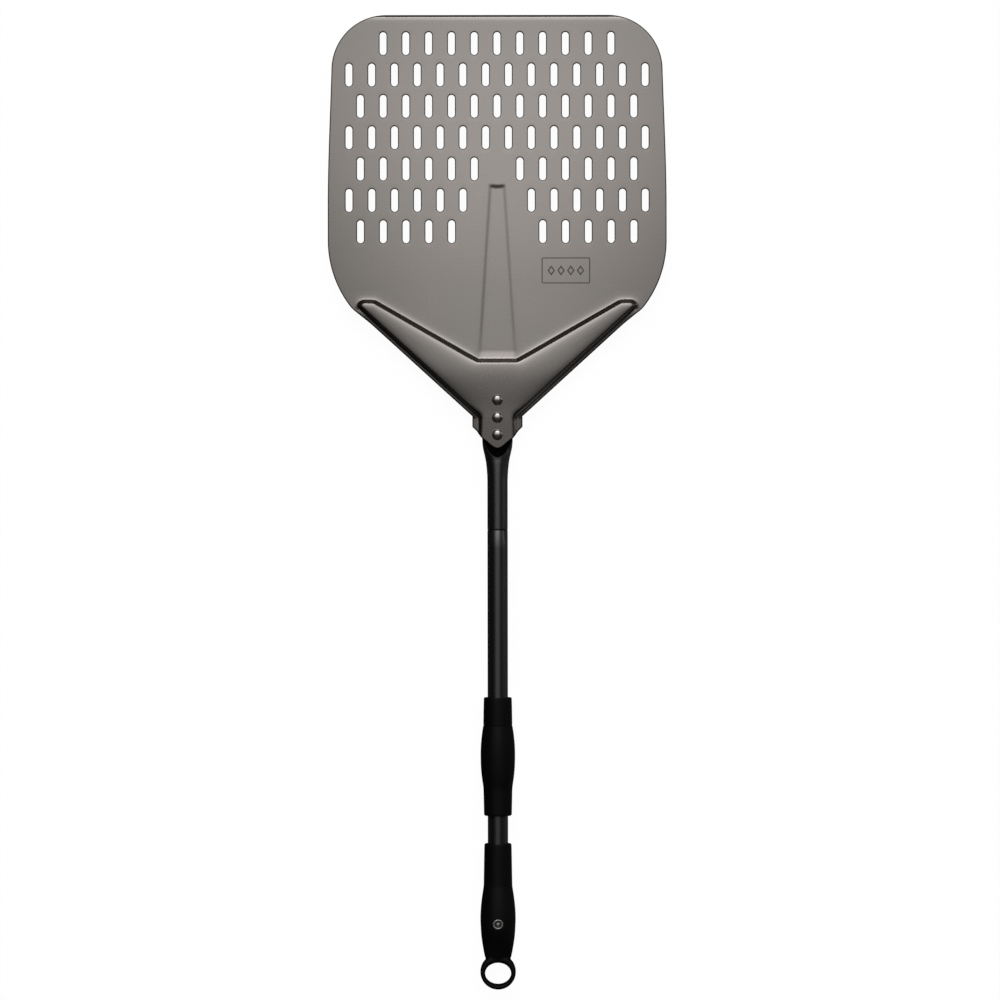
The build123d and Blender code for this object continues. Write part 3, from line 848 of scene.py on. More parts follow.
def build_washer():
    """Thin ring midway in the joint, its outer edge rounded."""
    mid = (NECK_REAR + HANDLE_FRONT) / 2
    half = 0.35
    outer = [(6.3, 1), (9.5, 1), (9.68, 0.75), (9.75, 0.3), (9.75, -0.3), (9.68, -0.75),
             (9.5, -1), (6.3, -1), (6.2, -0.6), (6.2, 0.6)]
    profile = [(radius, mid + half * share) for radius, share in outer]
    return turned_piece("joint_washer_ring", profile, 96, "washer", "joint_washer",
                        sharp=40, closed=True)


def build_stud():
    """Threaded rod across the joint, chamfered at its front tip."""
    tip, root = -338.7, -374.2
    outer_r, core_r = 5.9, 4.9
    segments, rings_per_turn = 64, 10
    count = int((tip - root) / THREAD_PITCH * rings_per_turn) + 1
    verts, rings = [], []
    for i in range(count + 1):
        y = tip - (tip - root) * i / count
        rings.append(list(range(len(verts), len(verts) + segments)))
        for k in range(segments):
            phase = ((tip - y) / THREAD_PITCH + k / segments) % 1.0
            ridge = float(np.clip((abs(phase - 0.5) * 2 - 0.12) / 0.72, 0, 1))
            chamfer = float(np.clip((tip - y) / 1.1, 0, 1))
            radius = min(core_r + (outer_r - core_r) * ridge,
                         core_r - 0.15 + (outer_r - core_r + 0.15) * chamfer)
            verts.append(on_axis(radius, y, 2 * math.pi * k / segments))
    faces = stitch(rings, flip=True)
    for ring in (rings[0], rings[-1]):
        centre = len(verts)
        verts.append((0, verts[ring[0]][1], TUBE_Z))
        faces += [(centre, a, b) for a, b in zip(ring, ring[1:] + ring[:1])]
    return new_object("joint_stud_thread", verts, faces, "handle", "joint_stud",
                      sharp=32)


def build_socket():
    """Turned insert in the neck tube with a chamfered, grooved bore."""
    rear = NECK_REAR
    y = rear + 0.9
    profile = [(0.0, rear + INSERT_LENGTH), (INSERT_R, rear + INSERT_LENGTH),
               (INSERT_R, rear + 0.5), (8.2, rear + 0.06), (6.9, rear + 0.06), (5.98, y)]
    while y < rear + 19.4:
        profile += [(5.96, y + 0.25), (5.97, y + 0.6), (6.75, y + 1.15), (6.75, y + 1.3),
                    (5.96, y + THREAD_PITCH)]
        y += THREAD_PITCH
    profile += [(5.96, rear + 20.4), (0.0, rear + 22.0)]
    return turned_piece("neck_socket_insert", profile, 96, "head", "neck_socket",
                        sharp=30)


def build_plug():
    """Turned insert in the handle tube."""
    # (radius, distance behind the tube's front end)
    steps = [(0.0, 0.4), (5.8, 0.4), (6.0, 0.12), (6.3, 0.05), (8.1, 0.05), (8.5, 0.35),
             (INSERT_R, 0.9), (INSERT_R, 29.4), (8.1, INSERT_LENGTH), (0.0, INSERT_LENGTH)]
    profile = [(radius, HANDLE_FRONT - back) for radius, back in steps]
    return turned_piece("handle_plug_insert", profile, 96, "handle", "handle_plug",
                        sharp=30)


handle_tube = build_handle_tube()
washer = build_washer()
stud = build_stud()
socket = build_socket()
plug = build_plug()

# =====================================================================
# sliding grip, (radius, y)
# =====================================================================
MID_FRONT = [(13.75, -521.9), (13.99, -529.6), (14.13, -537.5), (14.24, -545.0), (14.27, -547.9)]
MID_BELLY = [
    (14.36, -548.9), (14.62, -549.9), (15.17, -553.3), (15.71, -557.2), (16.15, -561.2),
    (16.52, -565.1), (16.79, -569.0), (16.95, -573.0), (17.0, -577.0), (16.97, -581.0),
    (16.89, -584.8), (16.75, -588.8), (16.48, -592.7), (16.12, -596.6), (15.64, -600.6),
    (15.05, -604.5), (14.5, -608.5), (14.2, -612.4), (14.04, -620.3), (13.86, -628.2),
    (13.72, -635.4)]
MID_FRONT_END = [(11.3, -520.8), (12.9, -520.8), (13.3, -520.9), (13.58, -521.2), (13.7, -521.6)]
# fine line between the front part and the belly
MID_LINE = [(14.2, -548.15), (14.02, -548.3), (14.02, -548.55), (14.22, -548.7)]
MID_REAR_END = [(13.6, -636.2), (13.3, -636.7), (12.8, -637.0), (11.3, -637.0), (11.12, -636.9),
                (11.1, -636.6), (11.1, -635.4)]
# the bore is wider near both ends
MID_BORE = [(12.05, -635.4), (12.05, -623.3), (10.6, -623.3), (10.6, -534.5), (12.05, -534.5),
            (12.05, -522.4), (11.1, -522.4), (11.1, -521.2), (11.12, -520.9)]

mid_grip = turned_piece(
    "mid_grip_shell",
    MID_FRONT_END + catmull(MID_FRONT, 4) + MID_LINE + catmull(MID_BELLY, 5) + MID_REAR_END
    + MID_BORE,
    144, "sliding_grip", "mid_grip", sharp=38, closed=True)

# =====================================================================
# end grip: round body, squeezed in height towards a flat ring
# =====================================================================

# (radius, y): bore from its bottom forward, front lip, body, rear
END_BORE = [(0.0, -757.5), (9.6, -757.5), (10.02, -757.0), (10.02, -700.0), (10.02, -666.0)]
END_LIP = [(10.3, -665.15), (12.3, -664.65), (12.9, -664.85), (13.25, -665.3)]
END_FRONT = [(13.4, -665.9), (13.64, -677.4), (13.84, -689.2), (14.02, -700.0), (14.12, -705.6)]
END_BELLY = [
    (14.3, -707.4), (14.68, -709.9), (15.12, -712.8), (15.58, -715.8), (15.98, -718.7),
    (16.35, -721.7), (16.68, -724.7), (16.94, -727.6), (17.14, -730.6), (17.3, -733.5),
    (17.38, -737.0), (17.36, -741.0), (17.19, -745.3), (16.87, -751.2), (16.35, -757.1),
    (15.5, -763.1), (14.5, -769.0), (13.75, -773.0)]
END_REAR = [(13.0, -776.2), (12.2, -778.6), (10.6, -780.2), (7.0, -781.0), (0.0, -781.3)]

RING_Y, RING_R = -791.1, 17.5                   # outer circle
HOLE_Y, HOLE_HALF_X, HOLE_HALF_Y = -792.7, 12.75, 10.45
RING_HALF_Z, RING_POWER = 5.3, 2.6              # rounded section
SEAT_R, SEAT_DEPTH = 5.3, 10.0                  # recess for the screw head


def on_end_grip(radius, y, angle):
    """Point on the body; only the outside is squeezed, not the bore."""
    squeeze = 1.0
    if radius > 10.2 or y < -757.6:
        squeeze = 1.0 - (1.0 - 5.4 / 12.8) * float(smoothstep(-745.0, -781.0, y))
    return radius * math.cos(angle), y, TUBE_Z + radius * squeeze * math.sin(angle)


def end_ring(base):
    """Points and faces of the ring, numbered from base."""
    around, across = 160, 32
    verts = []
    for i in range(around):
        c, s = math.cos(2 * math.pi * i / around), math.sin(2 * math.pi * i / around)
        outer = np.array([RING_R * c, RING_Y + RING_R * s])
        inner = np.array([HOLE_HALF_X * c, HOLE_Y + HOLE_HALF_Y * s])
        mid, half = (outer + inner) / 2, (outer - inner) / 2
        for j in range(across):
            turn = 2 * math.pi * j / across
            wide, high = (math.copysign(abs(v) ** (2 / RING_POWER), v)
                          for v in (math.cos(turn), math.sin(turn)))
            x, y = mid + half * wide
            verts.append((x, y, TUBE_Z + RING_HALF_Z * high))
    rings = [list(range(base + i * across, base + (i + 1) * across)) for i in range(around)]
    return verts, stitch(rings, closed=True)


def build_end_grip():
    profile = (END_BORE + END_LIP + catmull(END_FRONT, 4) + catmull(END_BELLY, 4) + END_REAR)
    verts, faces = revolve(profile, 128, on_end_grip)
    ring_verts, ring_faces = end_ring(len(verts))
    raw = raw_object("end_grip_raw", verts + ring_verts, faces + ring_faces)
    # melt body and ring into one skin, then sink the seat of the screw
    remesh = raw.modifiers.new("remesh", "REMESH")
    remesh.mode = "VOXEL"
    remesh.voxel_size = 0.5 * MM
    remesh.use_smooth_shade = True
    smooth = raw.modifiers.new("smooth", "SMOOTH")
    smooth.factor = 0.5
    smooth.iterations = 6
    bm = bmesh.new()
    bmesh.ops.create_cone(bm, cap_ends=True, segments=64, radius1=SEAT_R, radius2=SEAT_R,
                          depth=SEAT_DEPTH)
    cut = cutter(raw, "seat", "seat_cut", bm, (0, SCREW_Y, SEAT_Z + SEAT_DEPTH / 2))
    mesh = bake(raw, [cut])
    mesh.name = "end_grip_shell"
    return mount("end_grip_shell", mesh, "handle", "end_grip", sharp=50)


end_grip = build_end_grip()

# =====================================================================
# screw with a cross recess
# =====================================================================

# (radius, height above the seat): middle dome, dish, outer ridge, edge, shank
SCREW_PROFILE = [
    (0.0, 2.02), (0.2, 2.0), (1.2, 1.62), (1.45, 1.35), (1.75, 1.0), (2.0, 0.9), (2.4, 0.92),
    (2.75, 1.08), (3.1, 1.36), (3.5, 1.60), (3.9, 1.78), (4.15, 1.84), (4.4, 1.78),
    (4.75, 1.63), (5.0, 1.42), (5.15, 1.1), (5.2, 0.7), (5.2, 0.16), (5.08, 0.02), (4.9, 0.0),
    (1.95, 0.0), (1.8, -0.3), (1.8, -9.5), (0.0, -13.0)]


def arm_bmesh():
    """One tapered arm of the cross, pointing along x."""
    # start x, end x, half width, z
    top, bottom = (1.05, 3.3, 0.50, 1.2), (1.05 + 0.3, 2.5, 0.26, -1.3)
    bm = bmesh.new()
    corners = []
    for start, end, half, z in (top, bottom):
        for x, y in ((start, -half), (end, -half), (end, half), (start, half)):
            corners.append(bm.verts.new((x, y, z)))
    for side in ((0, 1, 2, 3), (7, 6, 5, 4), (0, 4, 5, 1), (1, 5, 6, 2), (2, 6, 7, 3),
                 (3, 7, 4, 0)):
        bm.faces.new([corners[i] for i in side])
    bmesh.ops.recalc_face_normals(bm, faces=bm.faces)
    return bm


def build_screw():
    def place(radius, above, angle):
        return (radius * math.cos(angle), SCREW_Y + radius * math.sin(angle), SEAT_Z + above)

    raw = raw_object("screw_raw", *revolve(SCREW_PROFILE, 64, place, flip=True))
    arms = [cutter(raw, "cross", "cross", arm_bmesh(), (0, SCREW_Y, SEAT_Z + 1.75),
                   turn=0.7 + math.pi / 2 * i) for i in range(4)]
    bevel = raw.modifiers.new("ease", "BEVEL")
    bevel.width = 0.08 * MM
    bevel.segments = 2
    bevel.limit_method = "ANGLE"
    bevel.angle_limit = math.radians(35)
    return mount("end_grip_screw_head", bake(raw, arms), "handle", "end_grip_screw",
                 sharp=30)


screw = build_screw()

# =====================================================================
# node helpers
# =====================================================================


class Nodes:
    """Builds a node tree; a value may be a number, a tuple or an output socket."""

    def __init__(self, tree):
        self.tree = tree
        tree.nodes.clear()

    def feed(self, value, target):
        if isinstance(value, bpy.types.NodeSocket):
            self.tree.links.new(value, target)
        else:
            target.default_value = value

    def add(self, kind, inputs=None, **props):
        node = self.tree.nodes.new(kind)
        for key, value in props.items():
            setattr(node, key, value)
        for key, value in (inputs or {}).items():
            self.feed(value, node.inputs[key])
        return node

    def axes(self, vector):
        """Outputs X, Y and Z of a vector."""
        return self.add("ShaderNodeSeparateXYZ", {0: vector}).outputs

    def math(self, operation, a, b=0.0, *more):
        return self.add("ShaderNodeMath", dict(enumerate((a, b, *more))),
                        operation=operation).outputs[0]

    def ramp(self, value, *stops):
        """Stops are (position, colour)."""
        node = self.add("ShaderNodeValToRGB", {0: value})
        elements = node.color_ramp.elements
        while len(elements) < len(stops):
            elements.new(0.5)
        for element, (position, colour) in zip(elements, stops):
            element.position = position
            element.color = (*colour, 1)
        return node.outputs[0]

    def grey(self, value, *stops):
        """Stops are (position, brightness)."""
        return self.ramp(value, *[(position, (v, v, v)) for position, v in stops])

    def mix(self, share, a, b, blend="MIX"):
        a, b = ((*v, 1) if isinstance(v, tuple) else v for v in (a, b))
        return self.add("ShaderNodeMix", {0: share, 6: a, 7: b}, data_type="RGBA",
                        blend_type=blend).outputs[2]

    def map_range(self, value, from_min, from_max, to_min=0.0, to_max=1.0, kind="LINEAR"):
        inputs = {"Value": value, "From Min": from_min, "From Max": from_max,
                  "To Min": to_min, "To Max": to_max}
        return self.add("ShaderNodeMapRange", inputs, interpolation_type=kind).outputs[0]

    def mix_shader(self, share, a, b):
        return self.add("ShaderNodeMixShader", {0: share, 1: a, 2: b}).outputs[0]


class Mat(Nodes):
    """Principled material in object coordinates."""

    def __init__(self, name):
        self.material = bpy.data.materials.new(name)
        self.material.use_nodes = True
        super().__init__(self.material.node_tree)
        self.bsdf = self.add("ShaderNodeBsdfPrincipled")
        self.add("ShaderNodeOutputMaterial", {0: self.bsdf.outputs[0]})
        self.position = self.add("ShaderNodeTexCoord").outputs["Object"]
        self.normal = None

    def put(self, name, value):
        self.feed(value, self.bsdf.inputs[name])

    def scaled(self, *scale):
        return self.add("ShaderNodeMapping",
                        {"Vector": self.position, "Scale": scale}).outputs[0]

    def noise(self, *scale, detail, rough=0.55):
        """Noise with one scale, or one for each axis."""
        if len(scale) == 1:
            scale = scale * 3
        inputs = {"Vector": self.scaled(*scale), "Scale": 1.0, "Detail": detail,
                  "Roughness": rough}
        return self.add("ShaderNodeTexNoise", inputs).outputs["Fac"]

    def attribute(self, name):
        return self.add("ShaderNodeAttribute", attribute_name=name).outputs["Fac"]

    def edges(self, start, full):
        """Mask of convex edges, between two values of pointiness."""
        pointiness = self.add("ShaderNodeNewGeometry").outputs["Pointiness"]
        return self.grey(pointiness, (start, 0.0), (full, 1.0))

    def tint(self, base, colour, mask, amount=None):
        """Lays a colour over the base where the mask is bright."""
        if amount is not None:
            mask = self.math("MULTIPLY", mask, amount)
        return self.mix(mask, base, colour)

    def lowered(self, value, mask, by):
        """The value, less a share of the mask."""
        return self.math("SUBTRACT", value, self.math("MULTIPLY", mask, by))

    def varied(self, source, base, spread):
        """The base value, plus a share of a noise."""
        return self.math("ADD", self.math("MULTIPLY", source, spread), base)

    def length(self, a, b):
        square_a, square_b = self.math("MULTIPLY", a, a), self.math("MULTIPLY", b, b)
        return self.math("SQRT", self.math("ADD", square_a, square_b))

    def bump(self, source, strength, distance):
        """Adds a bump on top of the earlier ones."""
        inputs = {"Height": source, "Strength": strength, "Distance": distance}
        if self.normal is not None:
            inputs["Normal"] = self.normal
        self.normal = self.add("ShaderNodeBump", inputs).outputs[0]
        self.put("Normal", self.normal)


# =====================================================================
# materials
# =====================================================================

# frame marked on the blade, millimetres
MARK_X, MARK_Y, MARK_HALF_X, MARK_HALF_Y = 67.6, -100.2, 23.4, 12.3
MARK_CORNER_R, MARK_HALF_LINE = 1.3, 0.50
LOZENGE_PITCH, LOZENGE_ROW_HALF = 9.6, 9.6 * 2
# a lozenge is where |x| / LOZENGE_X + |y| / LOZENGE_Y equals its size
LOZENGE_X, LOZENGE_Y, LOZENGE_SIZE, LOZENGE_HALF_LINE = 3.7, 5.0, 0.80, 0.21


def engraved_frame(m):
    """Mask of a thin rounded frame around a row of small lozenges, on the top face."""
    math_ = m.math
    position = m.axes(m.position)
    dx = math_("ABSOLUTE", math_("SUBTRACT", position["X"], MARK_X * MM))
    dy = math_("ABSOLUTE", math_("SUBTRACT", position["Y"], MARK_Y * MM))
    # signed distance to a rounded box
    ox = math_("SUBTRACT", dx, (MARK_HALF_X - MARK_CORNER_R) * MM)
    oy = math_("SUBTRACT", dy, (MARK_HALF_Y - MARK_CORNER_R) * MM)
    outer = m.length(math_("MAXIMUM", ox, 0.0), math_("MAXIMUM", oy, 0.0))
    inner = math_("MINIMUM", math_("MAXIMUM", ox, oy), 0.0)
    box = math_("SUBTRACT", math_("ADD", outer, inner), MARK_CORNER_R * MM)
    line = math_("LESS_THAN", math_("ABSOLUTE", box), MARK_HALF_LINE * MM)
    # lozenges repeat along the middle of the frame
    pitch = LOZENGE_PITCH * MM
    along = math_("SUBTRACT", position["X"], (MARK_X - LOZENGE_ROW_HALF) * MM)
    within = math_("MULTIPLY", math_("FRACT", math_("DIVIDE", along, pitch)), pitch)
    cell = math_("ABSOLUTE", math_("SUBTRACT", within, pitch / 2))
    lozenge = math_("ADD", math_("DIVIDE", cell, LOZENGE_X), math_("DIVIDE", dy, LOZENGE_Y))
    off_line = math_("ABSOLUTE", math_("SUBTRACT", lozenge, LOZENGE_SIZE * MM))
    lozenge_line = math_("LESS_THAN", off_line, LOZENGE_HALF_LINE * MM)
    in_row = math_("LESS_THAN", dx, LOZENGE_ROW_HALF * MM)
    mask = math_("MAXIMUM", line, math_("MULTIPLY", lozenge_line, in_row))
    return math_("MULTIPLY", mask, math_("GREATER_THAN", position["Z"], -0.0004))


def light_falloff(m, position):
    """Broad falloff over the sheet. This is light, not finish: the sky has none across it."""
    xn = m.math("DIVIDE", position["X"], 0.163)     # about 1 at the sides
    yn = m.math("MAXIMUM", m.math("DIVIDE", position["Y"], 0.150), -0.75)   # and at the front
    xx, yy = m.math("MULTIPLY", xn, xn), m.math("MULTIPLY", yn, yn)
    tone = 0.143                                    # at the origin, as a logarithm
    for operation, term, weight in (
            ("SUBTRACT", xx, 0.32), ("SUBTRACT", yn, 0.023), ("SUBTRACT", yy, 0.202),
            ("ADD", m.math("MULTIPLY", xx, yn), 0.141), ("ADD", xn, 0.026)):
        tone = m.math(operation, tone, m.math("MULTIPLY", term, weight))
    return m.math("EXPONENT", tone)


def blade_material():
    m = Mat("anodised_sheet")
    # rolling grain runs across the blade
    fine = m.noise(260, 5200, 2600, detail=4, rough=0.6)
    streak = m.noise(22, 900, 300, detail=5, rough=0.6)
    cloud = m.noise(9, detail=4)
    speck = m.noise(5200, detail=2, rough=0.5)
    base = m.ramp(cloud, (0.3, (0.480, 0.451, 0.420)), (0.7, (0.540, 0.486, 0.457)))
    base = m.tint(base, (0.43, 0.405, 0.385), m.grey(streak, (0.35, 0.0), (0.68, 0.22)))
    base = m.tint(base, (0.57, 0.54, 0.51), m.grey(fine, (0.3, 0.0), (0.75, 0.35)))
    base = m.tint(base, (0.36, 0.34, 0.33), m.grey(speck, (0.62, 0.0), (0.72, 0.25)))
    base = m.tint(base, (0.11, 0.105, 0.095), engraved_frame(m), amount=0.92)
    position = m.axes(m.position)
    base = m.mix(1.0, base, light_falloff(m, position), "MULTIPLY")
    # edges: painted shade makes them darker, nearly black over the rolled outline and slot rims,
    # with bright worn nicks
    edge = m.edges(0.512, 0.545)
    base = m.tint(base, (0.16, 0.15, 0.14), edge, amount=0.35)
    base = m.tint(base, (0.045, 0.042, 0.040), m.attribute("rim"), amount=0.90)
    worn = m.grey(m.noise(420, detail=5, rough=0.65), (0.60, 0.0), (0.68, 1.0))
    nick = m.math("MULTIPLY", edge, worn)
    base = m.tint(base, (0.72, 0.70, 0.68), nick, amount=0.55)
    # the thin ground leading edge: smoother, and painted a little darker as shade
    nose = m.map_range(position["Y"], from_min=(FRONT - 2.7) * MM, from_max=(FRONT - 2.2) * MM)
    base = m.tint(base, (0.15, 0.14, 0.135), nose, amount=0.20)
    m.put("Base Color", base)
    rough = m.math("ADD", m.math("MULTIPLY", fine, 0.10), m.math("MULTIPLY", cloud, 0.08))
    rough = m.math("ADD", rough, 0.175)
    m.put("Roughness", m.lowered(rough, nose, by=0.09))
    m.put("Metallic", 1.0)
    m.bump(fine, strength=0.08, distance=0.00002)
    m.bump(speck, strength=0.05, distance=0.00002)
    return m.material


def rivet_material():
    m = Mat("rivet_metal")
    mottle = m.noise(900, detail=4)
    base = m.ramp(mottle, (0.3, (0.70, 0.665, 0.65)), (0.7, (0.86, 0.83, 0.815)))
    m.put("Base Color", base)
    m.put("Roughness", m.varied(mottle, base=0.07, spread=0.10))
    m.put("Metallic", 0.90)
    m.bump(m.noise(900, detail=3), strength=0.35, distance=0.00008)
    m.bump(m.noise(2500, detail=3), strength=0.15, distance=0.00003)
    return m.material


def tube_material():
    m = Mat("satin_black_tube")
    peel = m.noise(1400, 700, 1400, detail=3)
    fine = m.noise(6000, detail=2)
    cloud = m.noise(14, 7, 14, detail=4)
    base = m.ramp(cloud, (0.3, (0.0125, 0.0125, 0.0128)), (0.7, (0.018, 0.018, 0.0184)))
    scuff = m.grey(m.noise(90, 30, 90, detail=6, rough=0.7), (0.62, 0.0), (0.72, 0.5))
    base = m.tint(base, (0.026, 0.026, 0.027), scuff, amount=0.3)
    base = m.tint(base, (0.10, 0.10, 0.10), m.edges(0.55, 0.64), amount=0.14)
    # painted shade: the crushed hollow under the tongue is darkened and its reflection turned down
    hollow_shade = m.attribute("recess")
    m.put("Base Color", m.tint(base, (0.0022, 0.0021, 0.0020), hollow_shade))
    m.put("Specular IOR Level", m.lowered(0.5, hollow_shade, by=0.49))
    m.put("Roughness", m.varied(fine, base=0.22, spread=0.10))
    m.put("IOR", 2.3)
    m.bump(peel, strength=0.05, distance=0.00004)
    m.bump(fine, strength=0.06, distance=0.00002)
    return m.material


def grip_material():
    m = Mat("matte_grip")
    grain = m.add("ShaderNodeTexVoronoi", {"Scale": 1.0, "Vector": m.scaled(2400, 2400, 2400)})
    fine = m.noise(5200, detail=3)
    cloud = m.noise(26, detail=4)
    base = m.grey(cloud, (0.3, 0.0035), (0.7, 0.0058))
    base = m.tint(base, (0.016, 0.016, 0.016), m.edges(0.52, 0.60), amount=0.5)
    m.put("Base Color", base)
    m.put("Roughness", m.varied(cloud, base=0.50, spread=0.10))
    m.put("IOR", 1.34)
    m.bump(grain.outputs["Distance"], strength=0.22, distance=0.00006)
    m.bump(fine, strength=0.15, distance=0.00003)
    return m.material


def metal(name, dark, bright, rough, grain):
    """Bare metal; grain is the noise scale along each axis."""
    m = Mat(name)
    streak = m.noise(*grain, detail=4)
    spot = m.noise(700, detail=4)
    base = m.ramp(streak, (0.3, dark), (0.7, bright))
    base = m.tint(base, tuple(c * 0.6 for c in dark), m.grey(spot, (0.6, 0.0), (0.75, 0.3)))
    m.put("Base Color", base)
    m.put("Roughness", m.varied(streak, base=rough, spread=0.12))
    m.put("Metallic", 1.0)
    m.bump(streak, strength=0.12, distance=0.00003)
    return m.material


def plastic(name, dark, bright, rough):
    """Grey plastic between two brightnesses, given as colours."""
    m = Mat(name)
    cloud = m.noise(30, detail=4)
    fine = m.noise(3000, detail=3)
    m.put("Base Color", m.ramp(cloud, (0.3, dark), (0.7, bright)))
    m.put("Roughness", m.varied(fine, base=rough, spread=0.1))
    m.bump(fine, strength=0.2, distance=0.00003)
    return m.material


def screw_material():
    """Bright plated steel, darker and less metallic in the ring-shaped dish of the head."""
    m = Mat("plated_screw")
    position = m.axes(m.position)
    radius = m.length(position["X"], m.math("SUBTRACT", position["Y"], SCREW_Y * MM))
    mottle = m.noise(700, detail=4)
    base = m.ramp(mottle, (0.38, (0.42, 0.40, 0.37)), (0.60, (0.98, 0.96, 0.92)))
    dish = m.grey(m.math("DIVIDE", radius, 6.0 * MM), (0.24, 0), (0.32, 1), (0.58, 1), (0.68, 0))
    m.put("Base Color", m.tint(base, (0.03, 0.03, 0.03), dish, amount=0.93))
    m.put("Metallic", m.lowered(0.55, dish, by=0.30))
    m.put("Roughness", m.varied(mottle, base=0.10, spread=0.12))
    m.bump(mottle, strength=0.5, distance=0.00012)
    return m.material


def give(ob, material):
    ob.data.materials.clear()
    ob.data.materials.append(material)


# each row: material, objects built here, CAD pieces
FINISHES = (
    (blade_material(), [blade], ["blade"]),
    (tube_material(), [neck_tube, handle_tube], ["neck_tube", "handle_tube"]),
    (grip_material(), [mid_grip, end_grip], ["mid_grip", "end_grip"]),
    (metal("zinc_steel", dark=(0.55, 0.545, 0.53), bright=(0.72, 0.715, 0.70), rough=0.16,
           grain=(60, 1200, 60)), [stud], ["joint_stud"]),
    (metal("turned_aluminium", dark=(0.55, 0.55, 0.56), bright=(0.70, 0.70, 0.71), rough=0.22,
           grain=(40, 2600, 40)), [socket, plug], ["neck_socket", "handle_plug", "end_plug"]),
    (plastic("acetal_glide", dark=(0.50, 0.50, 0.475), bright=(0.60, 0.60, 0.575), rough=0.42),
     [], ["glide_bush_front", "glide_bush_rear"]),
    (plastic("washer_plastic", dark=(0.010, 0.010, 0.010), bright=(0.018, 0.018, 0.018),
             rough=0.45), [washer], ["joint_washer"]),
    (rivet_material(), [rivets], ["rivets"]),
    (screw_material(), [screw], ["end_grip_screw"]),
)
for material, built, pieces in FINISHES:
    for ob in built:
        give(ob, material)
    for piece in pieces:
        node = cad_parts[piece]
        give(node, material)
        for polygon in node.data.polygons:
            polygon.material_index = 0

# =====================================================================
# studio, in metres
# =====================================================================
scene = bpy.context.scene
FLOOR_HALF, FLOOR_GAP = 9.0, 0.0004
WHITE = (1, 1, 1, 1)


def tipped(n):
    """0 while the camera looks straight down, 1 once it is tipped.

    The soft fill follows it, so the straight-down view and tipped views are not lit alike.
    """
    up = n.add("ShaderNodeVectorTransform", {0: (0, 0, 1)}, vector_type="VECTOR",
               convert_from="WORLD", convert_to="CAMERA").outputs[0]
    return n.map_range(n.axes(up)["Z"], from_min=-0.985, from_max=-0.90, kind="SMOOTHSTEP")


def floor_material():
    """Pale to the camera, dim in reflections, clear from underneath."""
    material = bpy.data.materials.new("pale_floor")
    material.use_nodes = True
    n = Nodes(material.node_tree)
    camera_ray = n.add("ShaderNodeLightPath").outputs["Is Camera Ray"]
    incoming = n.add("ShaderNodeNewGeometry").outputs
    glow = n.add("ShaderNodeEmission", {"Color": WHITE, "Strength": 0.962}).outputs[0]
    matte = n.add("ShaderNodeBsdfDiffuse", {"Color": (0.16, 0.16, 0.16, 1)}).outputs[0]
    pale = n.add("ShaderNodeAddShader", {0: glow, 1: matte}).outputs[0]
    # what reflections see: brighter towards one side, and when the camera is tipped
    side = n.map_range(n.axes(incoming["Incoming"])["X"], from_min=0.2, from_max=-0.7,
                       to_min=0.022, to_max=0.085)
    tipped_glow = 0.30
    strength = n.math("MULTIPLY_ADD", tipped(n), tipped_glow, side)
    dim = n.add("ShaderNodeEmission", {"Strength": strength}).outputs[0]
    upper = n.mix_shader(camera_ray, dim, pale)
    # the floor is clear from below, so the lower side of the parts can be seen
    clear = n.add("ShaderNodeBsdfTransparent").outputs[0]
    below = n.math("MULTIPLY", camera_ray, incoming["Backfacing"])
    n.add("ShaderNodeOutputMaterial", {0: n.mix_shader(below, upper, clear)})
    return material


def build_floor():
    z = CAD_LO.z - FLOOR_GAP
    corners = [(x * FLOOR_HALF, y * FLOOR_HALF, z) for x, y in ((-1, -1), (1, -1), (1, 1), (-1, 1))]
    mesh = bpy.data.meshes.new("floor")
    mesh.from_pydata(corners, [], [(0, 1, 2, 3)])
    floor = link_object("floor", mesh)
    mesh.materials.append(floor_material())


build_floor()

# brightness of the sky: (degrees from overhead, brightness)
SKY_ALONG = [       # towards -y to towards +y
    (-90, 0.008), (-40, 0.01), (-22, 0.014), (-13, 0.032), (-6, 0.115), (-2, 0.24), (1, 0.345),
    (4, 0.475), (9, 0.75), (15, 0.97), (24, 1.10), (32, 1.22), (37, 1.5), (42, 3.0), (45, 2.4),
    (48, 0.6), (51, 0.07), (56, 0.04), (64, 0.12), (90, 0.12)]
SKY_ACROSS = [      # towards -x to towards +x
    (-90, 0.02), (-60, 0.02), (-46, 0.03), (-35, 0.10), (-25, 0.50), (-14, 1.0), (12, 1.0),
    (21, 0.55), (30, 0.14), (42, 0.08), (52, 0.14), (63, 0.24), (75, 0.34), (84, 0.36),
    (90, 0.30)]
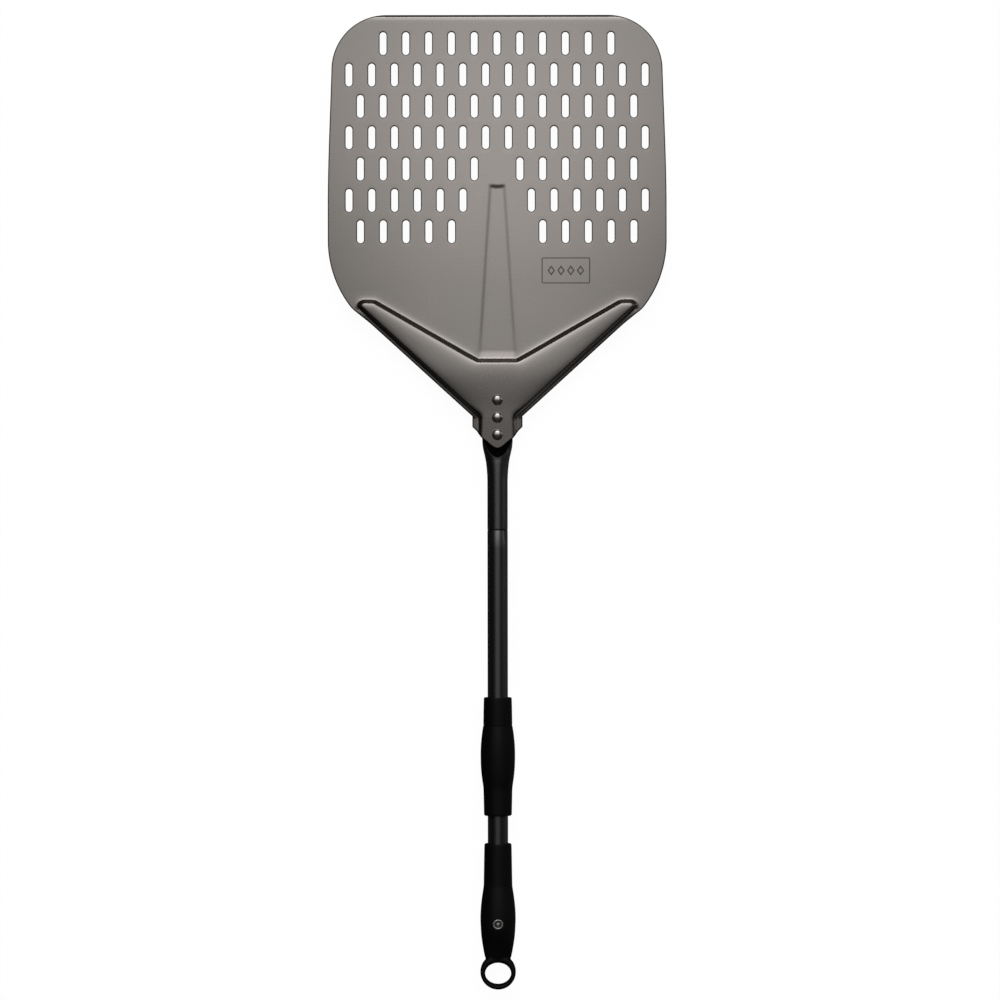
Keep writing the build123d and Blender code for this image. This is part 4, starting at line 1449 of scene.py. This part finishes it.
# soft fill dome: brightness at the horizon, added overhead, added towards +x
FILL_BASE, FILL_UP, FILL_SIDE = 0.24, 0.30, 0.10


def build_world():
    world = bpy.data.worlds.new("studio")
    scene.world = world
    world.use_nodes = True
    n = Nodes(world.node_tree)
    direction = n.axes(n.add("ShaderNodeTexCoord").outputs["Generated"])

    def by_angle(axis, stops):
        angle = n.math("ARCTAN2", direction[axis], direction["Z"])
        share = n.map_range(angle, from_min=-math.pi / 2, from_max=math.pi / 2)
        return n.grey(share, *[((degrees + 90) / 180, v) for degrees, v in stops])

    sky = n.mix(1.0, by_angle("Y", SKY_ALONG), by_angle("X", SKY_ACROSS), "MULTIPLY")
    fill = n.math("MULTIPLY_ADD", direction["Z"], FILL_UP, FILL_BASE)
    fill = n.math("MULTIPLY_ADD", direction["X"], FILL_SIDE, fill)
    total = n.mix(1.0, sky, n.math("MULTIPLY", fill, tipped(n)), "ADD")
    light = n.add("ShaderNodeBackground", {"Color": total, "Strength": 1.0}).outputs[0]
    backdrop = n.add("ShaderNodeBackground", {"Color": (0.98, 0.98, 0.98, 1)}).outputs[0]
    camera_ray = n.add("ShaderNodeLightPath").outputs["Is Camera Ray"]
    n.add("ShaderNodeOutputWorld", {0: n.mix_shader(camera_ray, light, backdrop)})


build_world()

CAMERA_X, CAMERA_Y, CAMERA_HEIGHT = 0.00242, -0.32623, 3.2
VIEW_WIDTH = 0.985              # width seen at z = 0
SENSOR = 36


def build_camera():
    """Looks straight down."""
    data = bpy.data.cameras.new("camera")
    camera = link_object("camera", data)
    camera.location = (CAMERA_X, CAMERA_Y, CAMERA_HEIGHT)
    camera.rotation_euler = (0, 0, math.radians(-0.07))
    data.sensor_width = SENSOR
    data.lens = SENSOR * CAMERA_HEIGHT / VIEW_WIDTH
    data.clip_start = 0.05
    data.clip_end = 50
    scene.camera = camera


build_camera()
scene.view_settings.view_transform = "Standard"
scene.view_settings.look = "None"
scene.view_settings.exposure = 0
scene.view_settings.gamma = 1
